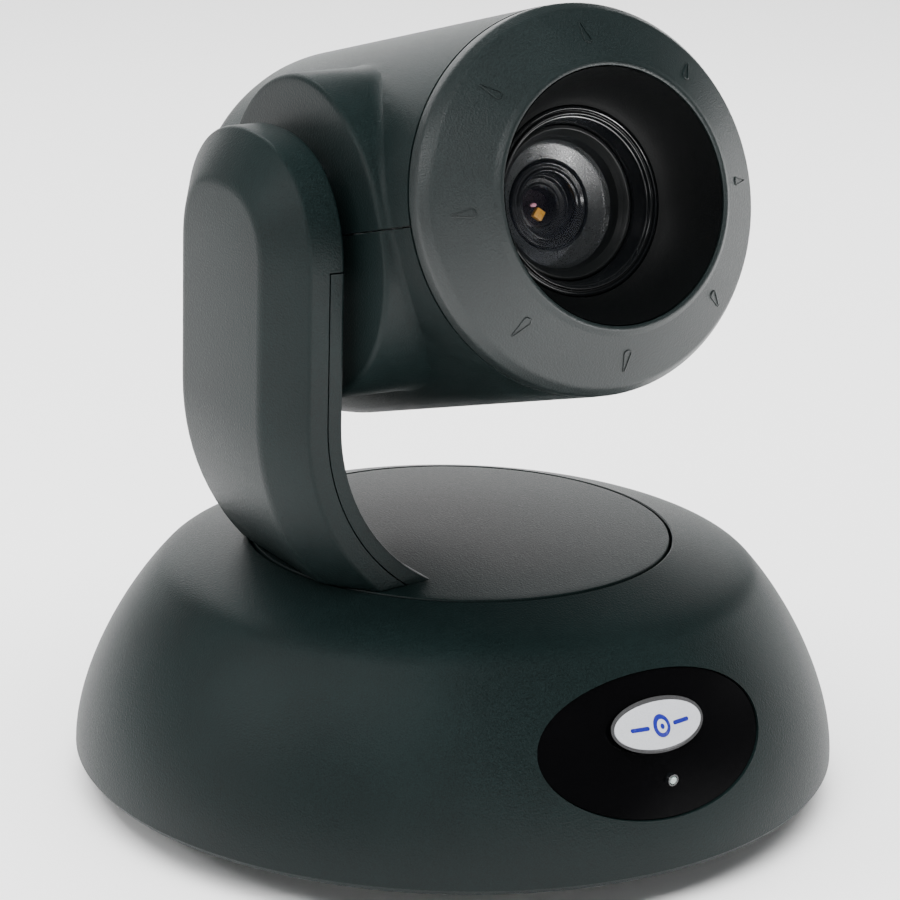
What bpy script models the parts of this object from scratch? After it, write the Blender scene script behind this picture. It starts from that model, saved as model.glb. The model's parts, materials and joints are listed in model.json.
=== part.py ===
"""A one-armed pan and tilt camera on a domed base.

Origin on the table under the centre of the base, +Z up. The lens looks along -Y
and the arm stands on the -X side. All sizes below are in millimetres; a mesh is
scaled to metres when its object is made. Pieces that pan hang from the empty
pan_axis and pieces that tilt hang from the empty tilt_axis.
"""

import math

import bmesh
import bpy
from mathutils import Matrix, Vector

MM = 0.001
GAP = 0.3
MERGE = 1e-4
SHARP = math.radians(32)
ROUND = 40
LENS_ROUND = 32
SMALL_ROUND = 20
FINE_ROUND = 12

# Base, whose front is a little to the side of the way the arm stands at rest
BASE_TURN = math.radians(2.5)
WAIST_RADIUS = 101.6
WAIST_Z = 9.6
SIDE_RISE = 14.3
UNDERSIDE = ((86.0, 2.2), (94.9, 5.7), (100.5, 8.2))
SHOULDER_RADIUS = 80.0
SHOULDER_Z = 57.5
RIM_RADIUS = 56.5
RIM_Z = 66.9
SHELL_WALL = 3.0
FOOT_HEIGHT = 2.0
FOOT_RADIUS = 8.0
FOOT_CIRCLE = 60.0
LIP_RADIUS = 83.0
PLATE_RADIUS = 79.6
PLATE_Z = FOOT_HEIGHT + GAP
PLATE_THICK = 2.0
FLANGE_RADIUS = 70.0
FLANGE_TOP = 7.0
FLANGE_SLOPE = 7.0
PLATE_SCREW_CIRCLE = 74.5
TOWER_SCREW_CIRCLE = 27.0
SCREW_HOLE = 1.8

# Front window, its badge and the status light
WINDOW_HALF_WIDTH = 33.2
WINDOW_HALF_HEIGHT = 15.9
WINDOW_Z = 38.2
WINDOW_THICK = 2.4
BADGE_HALF_WIDTH = 13.9
BADGE_HALF_HEIGHT = 5.9
BADGE_Z = 43.0
LIGHT_Z = 30.7
LIGHT_RADIUS = 1.1

# Rear connector recess
RECESS_HALF_WIDTH = 42.0
RECESS_LOW = 14.0
RECESS_HIGH = 43.0
RECESS_WALL = 1.5
PANEL_Y = 81.0
SOCKET_Z = 28.0
SOCKET_FRONT_Y = PANEL_Y + RECESS_WALL + 1.4
BOARD_Y = 66.5
BOARD_THICK = 1.6

# Turntable and pan drive
DISC_RADIUS = 55.8
DISC_RISE = 2.5
DISC_UNDER = 64.2
DISC_SKIRT = 62.0
PAN_SHAFT_RADIUS = 9.0
PAN_GEAR_LOW = 53.2
PAN_GEAR_HIGH = 56.8
PAN_MODULE = 1.25
PAN_GEAR_TEETH = 36
PAN_PINION_TEETH = 12
TOWER_RADIUS = 17.0
TOWER_TOP = 52.4
MOTOR_RADIUS = 11.5

# Arm: a plate that stands upright and bends inward to the disc
BEND_X = -5.0
BEND_Z = 112.0
ARM_INNER = 50.0
ARM_SEAM = 54.2
ARM_EDGE = 59.3
ARM_PANEL = 66.6
ARM_HALF_WIDTH = 34.0
PANEL_HALF_WIDTH = 21.0
ARCH_START = 148.0
ARCH_TOP = 180.0
PANEL_TOP = 167.5
ARCH_POWER = 2.3
ARM_WALL = 2.3
ARM_ROOT = 64.5
COVER_TOP = 150.2
BEND_STEPS = 7
ARCH_STEPS = 7
FRAME_INNER = 55.0
FRAME_OUTER = 56.5
FRAME_HALF_WIDTH = 12.0

# Head, in its own frame: +X as the world's, the lens along -Y
TILT_Y = -0.9
TILT_Z = 152.5
TILT_REST = math.radians(15.8)
BARREL_FRONT_RADIUS = 48.1
BARREL_BACK_RADIUS = 50.0
BARREL_FRONT = 53.1
BARREL_BACK = -71.0
BACK_ROUND = 15.0
HEAD_WALL = 2.5
SPLIT_Z = -2.0
BOSS_FACE = 50.5
BOSS_ARCH = ((0.0, 40.0), (24.0, 40.0), (43.5, 20.0), (43.5, -7.0))
BOSS_FOOT = ((43.5, -7.0), (43.5, -24.0), (31.0, -41.0), (0.0, -42.0))
BOSS_STEPS = 7
BEZEL_RIM_RADIUS = 31.3
BEZEL_RIM = 69.7
BEZEL_SHOULDER = ((47.9, 56.1), (47.3, 58.5), (46.5, 60.0))
SPIGOT_RADIUS = 45.4
SPIGOT_BACK = 48.9
SPIGOT_WALL = 1.8
HOOD_BACK_RADIUS = 23.3
HOOD_BACK = 53.4
HOOD_WALL = 1.4

# Tilt drive
TILT_SHAFT_RADIUS = 6.0
HUB_RADIUS = 13.0
TILT_MODULE = 1.0
TILT_GEAR_TEETH = 30
TILT_PINION_TEETH = 12
TILT_GEAR_NEAR = 57.6
TILT_GEAR_FAR = 59.4

# Turns of a shape made about, or along, +Z
UPRIGHT = Matrix.Identity(4)
FORWARD = Matrix.Rotation(math.radians(90), 4, "X")
SIDEWAYS = Matrix.Rotation(math.radians(-90), 4, "Y")


# Scene and materials

def clear_scene():
    for obj in list(bpy.data.objects):
        bpy.data.objects.remove(obj, do_unlink=True)


def finish(name, colour, roughness, metallic=0.0):
    material = bpy.data.materials.new(name)
    material.use_nodes = True
    shader = material.node_tree.nodes["Principled BSDF"]
    shader.inputs["Base Color"].default_value = (*colour, 1.0)
    shader.inputs["Roughness"].default_value = roughness
    shader.inputs["Metallic"].default_value = metallic
    return material


def make_materials():
    charcoal = (0.035, 0.042, 0.043)
    return {
        "shell": lambda name: finish(name, charcoal, 0.5),
        "gloss": lambda name: finish(name, (0.006, 0.006, 0.007), 0.08),
        "dark": lambda name: finish(name, (0.012, 0.012, 0.013), 0.4),
        "steel": lambda name: finish(name, (0.6, 0.6, 0.62), 0.35, 1.0),
        "aluminium": lambda name: finish(name, (0.7, 0.71, 0.73), 0.4, 1.0),
        "brass": lambda name: finish(name, (0.8, 0.62, 0.3), 0.35, 1.0),
        "rubber": lambda name: finish(name, (0.02, 0.02, 0.02), 0.85),
        "board": lambda name: finish(name, (0.02, 0.12, 0.05), 0.45),
        "nylon": lambda name: finish(name, (0.75, 0.74, 0.7), 0.5),
        "glass": lambda name: finish(name, (0.2, 0.22, 0.26), 0.03),
    }


# Outlines

def bezier(start, first, second, end, count):
    """Points along a cubic curve, both ends included."""
    points = []
    for step in range(count + 1):
        t = step / count
        weights = ((1 - t) ** 3, 3 * t * (1 - t) ** 2, 3 * t * t * (1 - t), t ** 3)
        parts = zip(weights, (start, first, second, end))
        scaled = [(w * x, w * y) for w, (x, y) in parts]
        points.append((sum(x for x, _ in scaled), sum(y for _, y in scaled)))
    return points


def arc(centre, radius, first, last, count):
    """Points on a circle from one angle to another, in degrees, ends included."""
    points = []
    for step in range(count + 1):
        angle = math.radians(first + (last - first) * step / count)
        points.append((centre[0] + radius * math.cos(angle), centre[1] + radius * math.sin(angle)))
    return points


def ellipse(centre, half_width, half_height, count):
    points = arc((0, 0), 1.0, 0, 360 - 360 / count, count - 1)
    return [(centre[0] + half_width * x, centre[1] + half_height * y) for x, y in points]


def rectangle(low, high, corner=0.0, count=3):
    """A rectangle between two corners, with round corners where a radius is given."""
    if not corner:
        return [low, (high[0], low[1]), high, (low[0], high[1])]
    points = []
    centres = (
        (high[0] - corner, high[1] - corner, 0),
        (low[0] + corner, high[1] - corner, 90),
        (low[0] + corner, low[1] + corner, 180),
        (high[0] - corner, low[1] + corner, 270),
    )
    for x, y, start in centres:
        points += arc((x, y), corner, start, start + 90, count)
    return points


def inset_curve(points, distance):
    """The same open curve moved to the left of its direction."""
    moved = []
    for index, point in enumerate(points):
        before = points[max(index - 1, 0)]
        after = points[min(index + 1, len(points) - 1)]
        along = Vector((after[0] - before[0], after[1] - before[1])).normalized()
        moved.append((point[0] - along.y * distance, point[1] + along.x * distance))
    return moved


def dome_curve():
    """Outer side of the base from its waist up to the rim round the disc."""
    side = bezier(
        (WAIST_RADIUS, WAIST_Z),
        (WAIST_RADIUS, WAIST_Z + SIDE_RISE),
        (SHOULDER_RADIUS + 12, SHOULDER_Z - 13.5),
        (SHOULDER_RADIUS, SHOULDER_Z),
        7,
    )
    shoulder = bezier(
        (SHOULDER_RADIUS, SHOULDER_Z),
        (SHOULDER_RADIUS - 3.5, SHOULDER_Z + 3.9),
        (SHOULDER_RADIUS - 8, SHOULDER_Z + 5.0),
        (RIM_RADIUS, RIM_Z),
        5,
    )
    return side + shoulder[1:]


def disc_curve(raise_by=0.0):
    """Domed top of the disc from its centre to its rim."""
    points = []
    for step in range(5):
        radius = DISC_RADIUS * step / 4
        rise = DISC_RISE * (1 - (radius / DISC_RADIUS) ** 2)
        points.append((radius, RIM_Z + rise + raise_by))
    return points


def gear_outline(teeth, module, phase):
    """Spur gear outline with straight flanks between involute points, and a little backlash."""
    pressure = math.radians(22)
    pitch = teeth * module / 2
    base = pitch * math.cos(pressure)
    radii = (pitch - 1.1 * module, pitch + 0.85 * module)
    half_tooth = 0.42 * math.pi / teeth
    involute_at_pitch = math.tan(pressure) - pressure
    flank = []
    for radius in radii:
        turn = math.acos(min(1.0, base / radius))
        flank.append((radius, half_tooth + involute_at_pitch - math.tan(turn) + turn))
    points = []
    for tooth in range(teeth):
        centre = phase + 2 * math.pi * tooth / teeth
        sides = [(r, centre - half) for r, half in flank]
        sides += [(r, centre + half) for r, half in reversed(flank)]
        points += [(r * math.cos(a), r * math.sin(a)) for r, a in sides]
    return points


# Solids

def move_to_axis(bm, turn):
    bmesh.ops.transform(bm, matrix=turn, verts=bm.verts)
    return bm


def lathe(outline, steps=ROUND, turn=UPRIGHT):
    """Solid of revolution of a closed (radius, height) outline."""
    bm = bmesh.new()
    verts = [bm.verts.new((radius, 0, height)) for radius, height in outline]
    edges = []
    for one, other in zip(verts, verts[1:] + verts[:1]):
        if max(one.co.x, other.co.x) > MERGE:
            edges.append(bm.edges.new((one, other)))
    bmesh.ops.spin(
        bm, geom=verts + edges, cent=(0, 0, 0), axis=(0, 0, 1),
        angle=2 * math.pi, steps=steps, use_merge=True,
    )
    bmesh.ops.remove_doubles(bm, verts=bm.verts, dist=MERGE)
    return move_to_axis(bm, turn)


def tube(outer, inner, low, high, steps=SMALL_ROUND, turn=UPRIGHT):
    return lathe([(outer, low), (outer, high), (inner, high), (inner, low)], steps, turn)


def rod(radius, low, high, steps=SMALL_ROUND, turn=UPRIGHT):
    return lathe([(0, low), (radius, low), (radius, high), (0, high)], steps, turn)


def prism(outline, low, high, turn=UPRIGHT):
    """Solid of a flat outline between two heights."""
    bm = bmesh.new()
    face = bm.faces.new([bm.verts.new((x, y, low)) for x, y in outline])
    grown = bmesh.ops.extrude_face_region(bm, geom=[face])
    raised = [item for item in grown["geom"] if isinstance(item, bmesh.types.BMVert)]
    bmesh.ops.translate(bm, verts=raised, vec=(0, 0, high - low))
    return move_to_axis(bm, turn)


def box(low, high):
    return prism(rectangle(low[:2], high[:2]), low[2], high[2])


def shift(bm, offset):
    bmesh.ops.translate(bm, verts=bm.verts, vec=offset)
    return bm


def merge(*pieces):
    """One bmesh that holds the separate solids of several."""
    target = pieces[0]
    for piece in pieces[1:]:
        mesh = bpy.data.meshes.new("joined")
        piece.to_mesh(mesh)
        piece.free()
        target.from_mesh(mesh)
        bpy.data.meshes.remove(mesh)
    return target


def arm_loop(reach, half_width, arch_top, foot):
    """Outline of the arm at one distance from the centre of its bend."""
    lowest = math.asin((BEND_Z - foot) / reach)
    side = []
    for step in range(BEND_STEPS + 1):
        angle = lowest * (1 - step / BEND_STEPS)
        x = BEND_X - reach * math.cos(angle)
        side.append((x, half_width, BEND_Z - reach * math.sin(angle)))
    for step in range(ARCH_STEPS + 1):
        angle = math.pi / 2 * step / ARCH_STEPS
        width = half_width * max(math.cos(angle), 0.0) ** (2 / ARCH_POWER)
        rise = (arch_top - ARCH_START) * math.sin(angle) ** (2 / ARCH_POWER)
        side.append((BEND_X - reach, width, ARCH_START + rise))
    top = side.pop()
    far_side = [(x, -y, z) for x, y, z in reversed(side)]
    return side + [(top[0], 0.0, top[2])] + far_side


def arm_solid(loops):
    """Closed solid through loops of equal count, its ends filled with rows."""
    bm = bmesh.new()
    rings = [[bm.verts.new(point) for point in loop] for loop in loops]
    count = len(rings[0])
    for ring, following in zip(rings, rings[1:]):
        for index in range(count):
            after = (index + 1) % count
            bm.faces.new((ring[index], ring[after], following[after], following[index]))
    for ring in (rings[0], rings[-1]):
        for index in range(count // 2):
            row = [ring[index], ring[index + 1], ring[count - 2 - index], ring[count - 1 - index]]
            bm.faces.new(list(dict.fromkeys(row)))
    return bm


def bend_strip(inner, outer, foot, top, half_width, tail=()):
    """Strip of even thickness that follows the arm, with an optional tail at its foot."""
    def edge(reach, low):
        lowest = math.degrees(math.asin((BEND_Z - low) / reach))
        highest = math.degrees(math.asin(max(BEND_Z - top, 0) / reach))
        curve = arc((BEND_X, BEND_Z), reach, 180 + highest, 180 + lowest, BEND_STEPS)
        return [(BEND_X - reach, top)] + curve if top > BEND_Z else curve

    inner_foot = tail[-1][1] if tail else foot
    outline = edge(outer, foot) + list(tail) + list(reversed(edge(inner, inner_foot)))
    return prism(outline, -half_width, half_width, FORWARD)


def boss_outline(inset):
    """Side view of the head's boss as (height, depth): an arch over a rounder foot."""
    half = bezier(*BOSS_ARCH, BOSS_STEPS) + bezier(*BOSS_FOOT, BOSS_STEPS)[1:]
    half = inset_curve(half, -inset)
    front = [(height, depth) for depth, height in half]
    back = [(height, -depth) for depth, height in reversed(half[1:-1])]
    return front + back


def barrel_outline(inset, front):
    """Half outline of the barrel as (radius, forward distance), closed at the back."""
    back = BARREL_BACK + inset
    corner = BACK_ROUND - inset
    turn = arc((BARREL_BACK_RADIUS - BACK_ROUND, back + corner), corner, 0, -90, 5)
    return [(0, front), (BARREL_FRONT_RADIUS - inset, front)] + turn + [(0, back)]


# Objects

class Builder:
    """Makes named objects and keeps what they share."""

    def __init__(self):
        self.finishes = make_materials()
        self.base = self.empty("base_turn", (0, 0, 0))
        self.base.rotation_euler = (0, 0, BASE_TURN)
        self.pan = self.empty("pan_axis", (0, 0, 0))
        self.tilt = self.empty("tilt_axis", (0, TILT_Y, TILT_Z), self.pan)
        self.tilt.rotation_euler = (-TILT_REST, 0, 0)

    def empty(self, name, place, parent=None):
        marker = bpy.data.objects.new(name, None)
        marker.location = Vector(place) * MM
        marker.parent = parent
        bpy.context.scene.collection.objects.link(marker)
        return marker

    def mesh_object(self, name, bm, place=(0, 0, 0), parent=None):
        bmesh.ops.remove_doubles(bm, verts=bm.verts, dist=MERGE)
        bmesh.ops.recalc_face_normals(bm, faces=bm.faces)
        bmesh.ops.scale(bm, vec=(MM, MM, MM), verts=bm.verts)
        mesh = bpy.data.meshes.new(name)
        bm.to_mesh(mesh)
        bm.free()
        mesh.shade_smooth()
        mesh.set_sharp_from_angle(angle=SHARP)
        obj = bpy.data.objects.new(name, mesh)
        obj.location = Vector(place) * MM
        obj.parent = parent or self.base
        bpy.context.scene.collection.objects.link(obj)
        return obj

    def add(self, name, bm, look, place=(0, 0, 0), parent=None):
        obj = self.mesh_object(name, bm, place, parent)
        obj.data.materials.append(self.finishes[look](name + "_finish"))
        return obj

    def change(self, obj, operation, bm, place=(0, 0, 0), parent=None):
        """Boolean of an object with a hidden helper solid."""
        helper = self.mesh_object(f"{obj.name}_{operation.lower()}_helper", bm, place, parent)
        helper.hide_render = True
        helper.display_type = "WIRE"
        modifier = obj.modifiers.new(operation.title(), "BOOLEAN")
        modifier.operation = operation
        modifier.solver = "EXACT"
        modifier.object = helper

    def cut(self, obj, bm, parent=None):
        self.change(obj, "DIFFERENCE", bm, (0, 0, 0), parent)


def ring_places(radius, count, start):
    """Places on a circle round +Z, the first at the start angle in degrees."""
    angles = [math.radians(start + 360 * step / count) for step in range(count)]
    return [(radius * math.cos(angle), radius * math.sin(angle)) for angle in angles]


def screw_holes(circle, count, start):
    places = ring_places(circle, count, start)
    return merge(*[shift(rod(SCREW_HOLE, 0, 12, FINE_ROUND), (x, y, 0)) for x, y in places])


# Base

def window_prism(grow, near, far):
    outline = ellipse((0, WINDOW_Z), WINDOW_HALF_WIDTH + grow, WINDOW_HALF_HEIGHT + grow, 36)
    return prism(outline, near, far, FORWARD)


def dome_solid(inset):
    """Everything inside the dome's outer side, moved inward by the inset."""
    side = inset_curve(dome_curve(), inset)
    return lathe([(0, side[0][1])] + side + [(0, side[-1][1])])


def make_base_shell(build):
    side = dome_curve()
    inner = inset_curve(side, SHELL_WALL)
    top_inner = (RIM_RADIUS, RIM_Z - SHELL_WALL)
    outline = [(LIP_RADIUS, FOOT_HEIGHT), *UNDERSIDE] + side + [top_inner]
    outline += list(reversed(inner[1:-1:2]))
    outline += [
        (inner[0][0], FLANGE_TOP + FLANGE_SLOPE / 2),
        (inner[0][0] - FLANGE_SLOPE, FLANGE_TOP),
        (FLANGE_RADIUS, FLANGE_TOP),
        (FLANGE_RADIUS, PLATE_Z + PLATE_THICK + GAP),
        (PLATE_RADIUS + 0.6, PLATE_Z + PLATE_THICK + GAP),
        (PLATE_RADIUS + 0.6, FOOT_HEIGHT),
    ]
    shell = build.add("base_shell", lathe(outline), "shell")
    rear = rectangle((-RECESS_HALF_WIDTH, RECESS_LOW), (RECESS_HALF_WIDTH, RECESS_HIGH), 5)
    build.cut(shell, merge(
        window_prism(GAP, 60, 130),
        prism(rear, -130, -60, FORWARD),
        screw_holes(PLATE_SCREW_CIRCLE, 4, 45),
    ))


def make_base_plate(build):
    plate = build.add(
        "base_plate", tube(PLATE_RADIUS, 7.3, PLATE_Z, PLATE_Z + PLATE_THICK, ROUND), "steel")
    build.cut(plate, merge(
        screw_holes(PLATE_SCREW_CIRCLE, 4, 45),
        screw_holes(TOWER_SCREW_CIRCLE, 2, 90),
    ))
    for number, (x, y) in enumerate(ring_places(FOOT_CIRCLE, 4, 22), 1):
        build.add(f"foot_{number}", rod(FOOT_RADIUS, 0, FOOT_HEIGHT), "rubber", (x, y, 0))
    screw = [(0, 0.8), (2.6, 0.8), (3.1, 1.2), (3.1, 2.0), (1.5, 2.0), (1.5, 8.6), (0, 8.6)]
    places = ring_places(PLATE_SCREW_CIRCLE, 4, 45) + ring_places(TOWER_SCREW_CIRCLE, 2, 90)
    for number, (x, y) in enumerate(places, 1):
        build.add(f"plate_screw_{number}", lathe(screw, FINE_ROUND), "steel", (x, y, 0))
    nut = [(3.2, FOOT_HEIGHT), (7.0, FOOT_HEIGHT), (7.0, 9.0), (3.2, 9.0)]
    build.add("tripod_nut", lathe(nut, SMALL_ROUND), "brass")


def make_window(build):
    window = build.add("front_window", dome_solid(0.0), "gloss")
    build.change(window, "INTERSECT", window_prism(0, 60, 130))
    light_hole = ellipse((0, LIGHT_Z), LIGHT_RADIUS + GAP, LIGHT_RADIUS + GAP, 12)
    build.cut(window, dome_solid(WINDOW_THICK))
    build.cut(window, prism(light_hole, 60, 130, FORWARD))
    badge = build.add("badge", dome_solid(-0.9), "aluminium")
    build.change(badge, "INTERSECT", prism(
        ellipse((0, BADGE_Z), BADGE_HALF_WIDTH, BADGE_HALF_HEIGHT, 28), 60, 130, FORWARD))
    build.cut(badge, dome_solid(-GAP))
    light = ellipse((0, LIGHT_Z), LIGHT_RADIUS, LIGHT_RADIUS, 12)
    build.add("status_light", prism(light, 79.0, 98.0, FORWARD), "glass")
    board = prism(rectangle((-24, 20), (24, 46), 2), 74.4, 76.0, FORWARD)
    build.add("front_board", board, "board")
    receiver = rectangle((-17, 27), (-9, 36), 1)
    build.add("infrared_receiver", prism(receiver, 76.0 + GAP, 82.0, FORWARD), "dark")


def make_rear_panel(build):
    inner = rectangle(
        (-RECESS_HALF_WIDTH + GAP, RECESS_LOW + GAP), (RECESS_HALF_WIDTH - GAP, RECESS_HIGH - GAP), 4.7)
    hollow = rectangle(
        (-RECESS_HALF_WIDTH + RECESS_WALL, RECESS_LOW + RECESS_WALL),
        (RECESS_HALF_WIDTH - RECESS_WALL, RECESS_HIGH - RECESS_WALL), 3.5)
    panel = build.add("connector_panel", prism(inner, -130, -PANEL_Y, FORWARD), "shell")
    build.change(panel, "INTERSECT", dome_solid(0.4))
    square = [("network_socket", 2, 16.0, 13.5, 11.8, 8.4), ("video_socket", 21, 16.4, 7.4, 14.2, 5.0)]
    rounds = [("power_socket", -31, 5.6, 3.3), ("control_socket", -14, 6.6, 5.2)]
    build.cut(panel, prism(hollow, -130, -PANEL_Y - RECESS_WALL, FORWARD))
    cutters = []
    for _, x, width, height, _, _ in square:
        hole = rectangle(
            (x - width / 2 - GAP, SOCKET_Z - height / 2 - GAP),
            (x + width / 2 + GAP, SOCKET_Z + height / 2 + GAP))
        cutters.append(prism(hole, -PANEL_Y - 6, -PANEL_Y + 6, FORWARD))
    for _, x, outer, _ in rounds:
        hole = rod(outer + GAP, -PANEL_Y - 6, -PANEL_Y + 6, SMALL_ROUND, FORWARD)
        cutters.append(shift(hole, (x, 0, SOCKET_Z)))
    build.cut(panel, merge(*cutters))
    back = BOARD_Y + BOARD_THICK + GAP
    for name, x, width, height, mouth, mouth_height in square:
        body = rectangle((x - width / 2, SOCKET_Z - height / 2), (x + width / 2, SOCKET_Z + height / 2))
        socket = build.add(name, prism(body, -SOCKET_FRONT_Y, -back, FORWARD), "steel")
        opening = rectangle(
            (x - mouth / 2, SOCKET_Z - mouth_height / 2), (x + mouth / 2, SOCKET_Z + mouth_height / 2))
        build.cut(socket, prism(opening, -SOCKET_FRONT_Y - 2, -back - 3, FORWARD))
    for name, x, outer, inner_radius in rounds:
        body = [
            (0, -back), (outer, -back), (outer, -SOCKET_FRONT_Y), (inner_radius, -SOCKET_FRONT_Y),
            (inner_radius, -back - 4), (1.0, -back - 4), (1.0, -SOCKET_FRONT_Y + 1.5),
            (0, -SOCKET_FRONT_Y + 1.5)]
        build.add(name, lathe(body, SMALL_ROUND, FORWARD), "dark", (x, 0, SOCKET_Z))
    board = prism(rectangle((-39, 15), (32, 42), 2), -BOARD_Y - BOARD_THICK, -BOARD_Y, FORWARD)
    build.add("connector_board", board, "board")


def make_base_inside(build):
    tower = [
        (33, 4.6), (33, 7.2), (TOWER_RADIUS, 7.2), (TOWER_RADIUS, TOWER_TOP), (14, TOWER_TOP),
        (14, 44), (11, 44), (11, 4.6)]
    tower_object = build.add("pan_tower", lathe(tower, SMALL_ROUND), "aluminium")
    build.cut(tower_object, screw_holes(TOWER_SCREW_CIRCLE, 2, 90))
    build.add("pan_bearing", tube(13.7, PAN_SHAFT_RADIUS + GAP, 44.3, 51.5), "steel")
    build.add("main_board", box((-48, -62, 9), (48, -36, 10.6)), "board")
    build.add("processor", box((-9, -56, 10.6 + GAP), (9, -42, 13.4)), "dark")
    centre = PAN_MODULE * (PAN_GEAR_TEETH + PAN_PINION_TEETH) / 2
    build.add("pan_motor", rod(MOTOR_RADIUS, 16, 48), "steel", (centre, 0, 0))
    carrier = prism(rectangle((-21, -20), (centre + 13, 20), 6), 48.3, 50.0)
    carrier_object = build.add("pan_motor_carrier", carrier, "steel")
    build.cut(carrier_object, merge(
        rod(TOWER_RADIUS + GAP, 44, 56), shift(rod(3.5, 44, 56), (centre, 0, 0))))
    pinion = build.add(
        "pan_pinion",
        prism(gear_outline(PAN_PINION_TEETH, PAN_MODULE, 0.0), PAN_GEAR_LOW, PAN_GEAR_HIGH),
        "brass", (centre, 0, 0))
    build.change(pinion, "UNION", rod(2, 48.3, PAN_GEAR_LOW + 1), (centre, 0, 0))


# Turntable and arm

def make_turntable(build):
    top = disc_curve()
    outline = top[:-1] + [
        (DISC_RADIUS - 0.5, RIM_Z + 0.04), (DISC_RADIUS, RIM_Z - 0.5), (DISC_RADIUS, DISC_SKIRT),
        (DISC_RADIUS - 3, DISC_SKIRT), (DISC_RADIUS - 3, DISC_UNDER), (0, DISC_UNDER)]
    disc = build.add("turntable", lathe(outline), "shell", parent=build.pan)
    build.cut(disc, frame_slot(), build.pan)
    shaft = [
        (6, 30), (PAN_SHAFT_RADIUS, 30), (PAN_SHAFT_RADIUS, 57.4), (31, 58.4), (31, 61.2), (6, 61.2)]
    build.add("pan_shaft", lathe(shaft, SMALL_ROUND), "steel", parent=build.pan)
    half_pitch = math.pi / PAN_GEAR_TEETH
    gear = gear_outline(PAN_GEAR_TEETH, PAN_MODULE, BASE_TURN + half_pitch)
    wheel = build.add("pan_gear", prism(gear, PAN_GEAR_LOW, PAN_GEAR_HIGH), "nylon", parent=build.pan)
    build.cut(wheel, rod(PAN_SHAFT_RADIUS + GAP, 40, 60), build.pan)


def frame_slot():
    return bend_strip(FRAME_INNER - 0.6, FRAME_OUTER + 0.6, 60, 80, FRAME_HALF_WIDTH + 1)


def arm_cavity():
    wall = ARM_WALL
    foot = 71.0
    top = ARCH_TOP - wall
    half = ARM_HALF_WIDTH - wall
    return arm_solid([
        arm_loop(ARM_INNER + wall, half, top, foot),
        arm_loop(ARM_EDGE - 0.6, half, top, foot),
        arm_loop(ARM_PANEL - wall, PANEL_HALF_WIDTH - 0.8, PANEL_TOP - 0.8, foot),
    ])


def arm_foot():
    """What the arm's foot stands clear of: the domed disc and the rim round it."""
    top = disc_curve(GAP)
    return lathe(top + [(95, RIM_Z + GAP), (95, 50), (0, 50)])


def hub_hole():
    hole = rod(HUB_RADIUS + 0.5, 45, 60, SMALL_ROUND, SIDEWAYS)
    return shift(hole, (0, TILT_Y, TILT_Z))


def make_arm(build):
    outer = build.add("arm_outer_shell", arm_solid([
        arm_loop(ARM_INNER, ARM_HALF_WIDTH, ARCH_TOP, ARM_ROOT),
        arm_loop(ARM_EDGE, ARM_HALF_WIDTH, ARCH_TOP, ARM_ROOT),
        arm_loop(ARM_PANEL, PANEL_HALF_WIDTH, PANEL_TOP, ARM_ROOT),
    ]), "shell", parent=build.pan)
    build.cut(outer, arm_cavity(), build.pan)
    cover_space = bend_strip(
        ARM_INNER - 1.5, ARM_SEAM, ARM_ROOT, COVER_TOP + GAP, ARM_HALF_WIDTH + 4)
    build.cut(outer, cover_space, build.pan)
    build.cut(outer, arm_foot(), build.pan)
    build.cut(outer, merge(frame_slot(), hub_hole()), build.pan)
    cover = build.add(
        "arm_inner_cover",
        bend_strip(ARM_INNER, ARM_SEAM - GAP, ARM_ROOT, COVER_TOP, ARM_HALF_WIDTH),
        "shell", parent=build.pan)
    build.cut(cover, arm_cavity(), build.pan)
    build.cut(cover, arm_foot(), build.pan)
    build.cut(cover, merge(frame_slot(), hub_hole()), build.pan)
    tail = [(-10.0, 61.2 + GAP), (-10.0, 63.2)]
    frame = build.add(
        "arm_frame",
        bend_strip(FRAME_INNER, FRAME_OUTER, 61.2 + GAP, 170, FRAME_HALF_WIDTH, tail),
        "steel", parent=build.pan)
    pinion_z = TILT_Z - TILT_MODULE * (TILT_GEAR_TEETH + TILT_PINION_TEETH) / 2
    bearing_hole = shift(rod(9.3, 45, 75, SMALL_ROUND, SIDEWAYS), (0, TILT_Y, TILT_Z))
    motor_hole = shift(rod(2.2, 45, 75, FINE_ROUND, SIDEWAYS), (0, TILT_Y, pinion_z))
    build.cut(frame, merge(bearing_hole, motor_hole), build.pan)
    build.add(
        "tilt_bearing", tube(9.0, TILT_SHAFT_RADIUS + GAP, 59.8, 62.2, SMALL_ROUND, SIDEWAYS),
        "steel", (0, TILT_Y, TILT_Z), build.pan)
    build.add(
        "tilt_motor", rod(9.5, 62.0, 68.2, SMALL_ROUND, SIDEWAYS), "steel",
        (0, TILT_Y, pinion_z), build.pan)
    pinion = build.add(
        "tilt_pinion",
        prism(
            gear_outline(TILT_PINION_TEETH, TILT_MODULE, 0.0), TILT_GEAR_NEAR, TILT_GEAR_FAR, SIDEWAYS),
        "brass", (0, TILT_Y, pinion_z), build.pan)
    build.change(
        pinion, "UNION", rod(1.5, TILT_GEAR_NEAR + 0.5, 61.7, FINE_ROUND, SIDEWAYS),
        (0, TILT_Y, pinion_z), build.pan)


# Head, made in the frame of the tilt axis

def half_space(low, high):
    return box((-80, -90, low), (80, 90, high))


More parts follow.
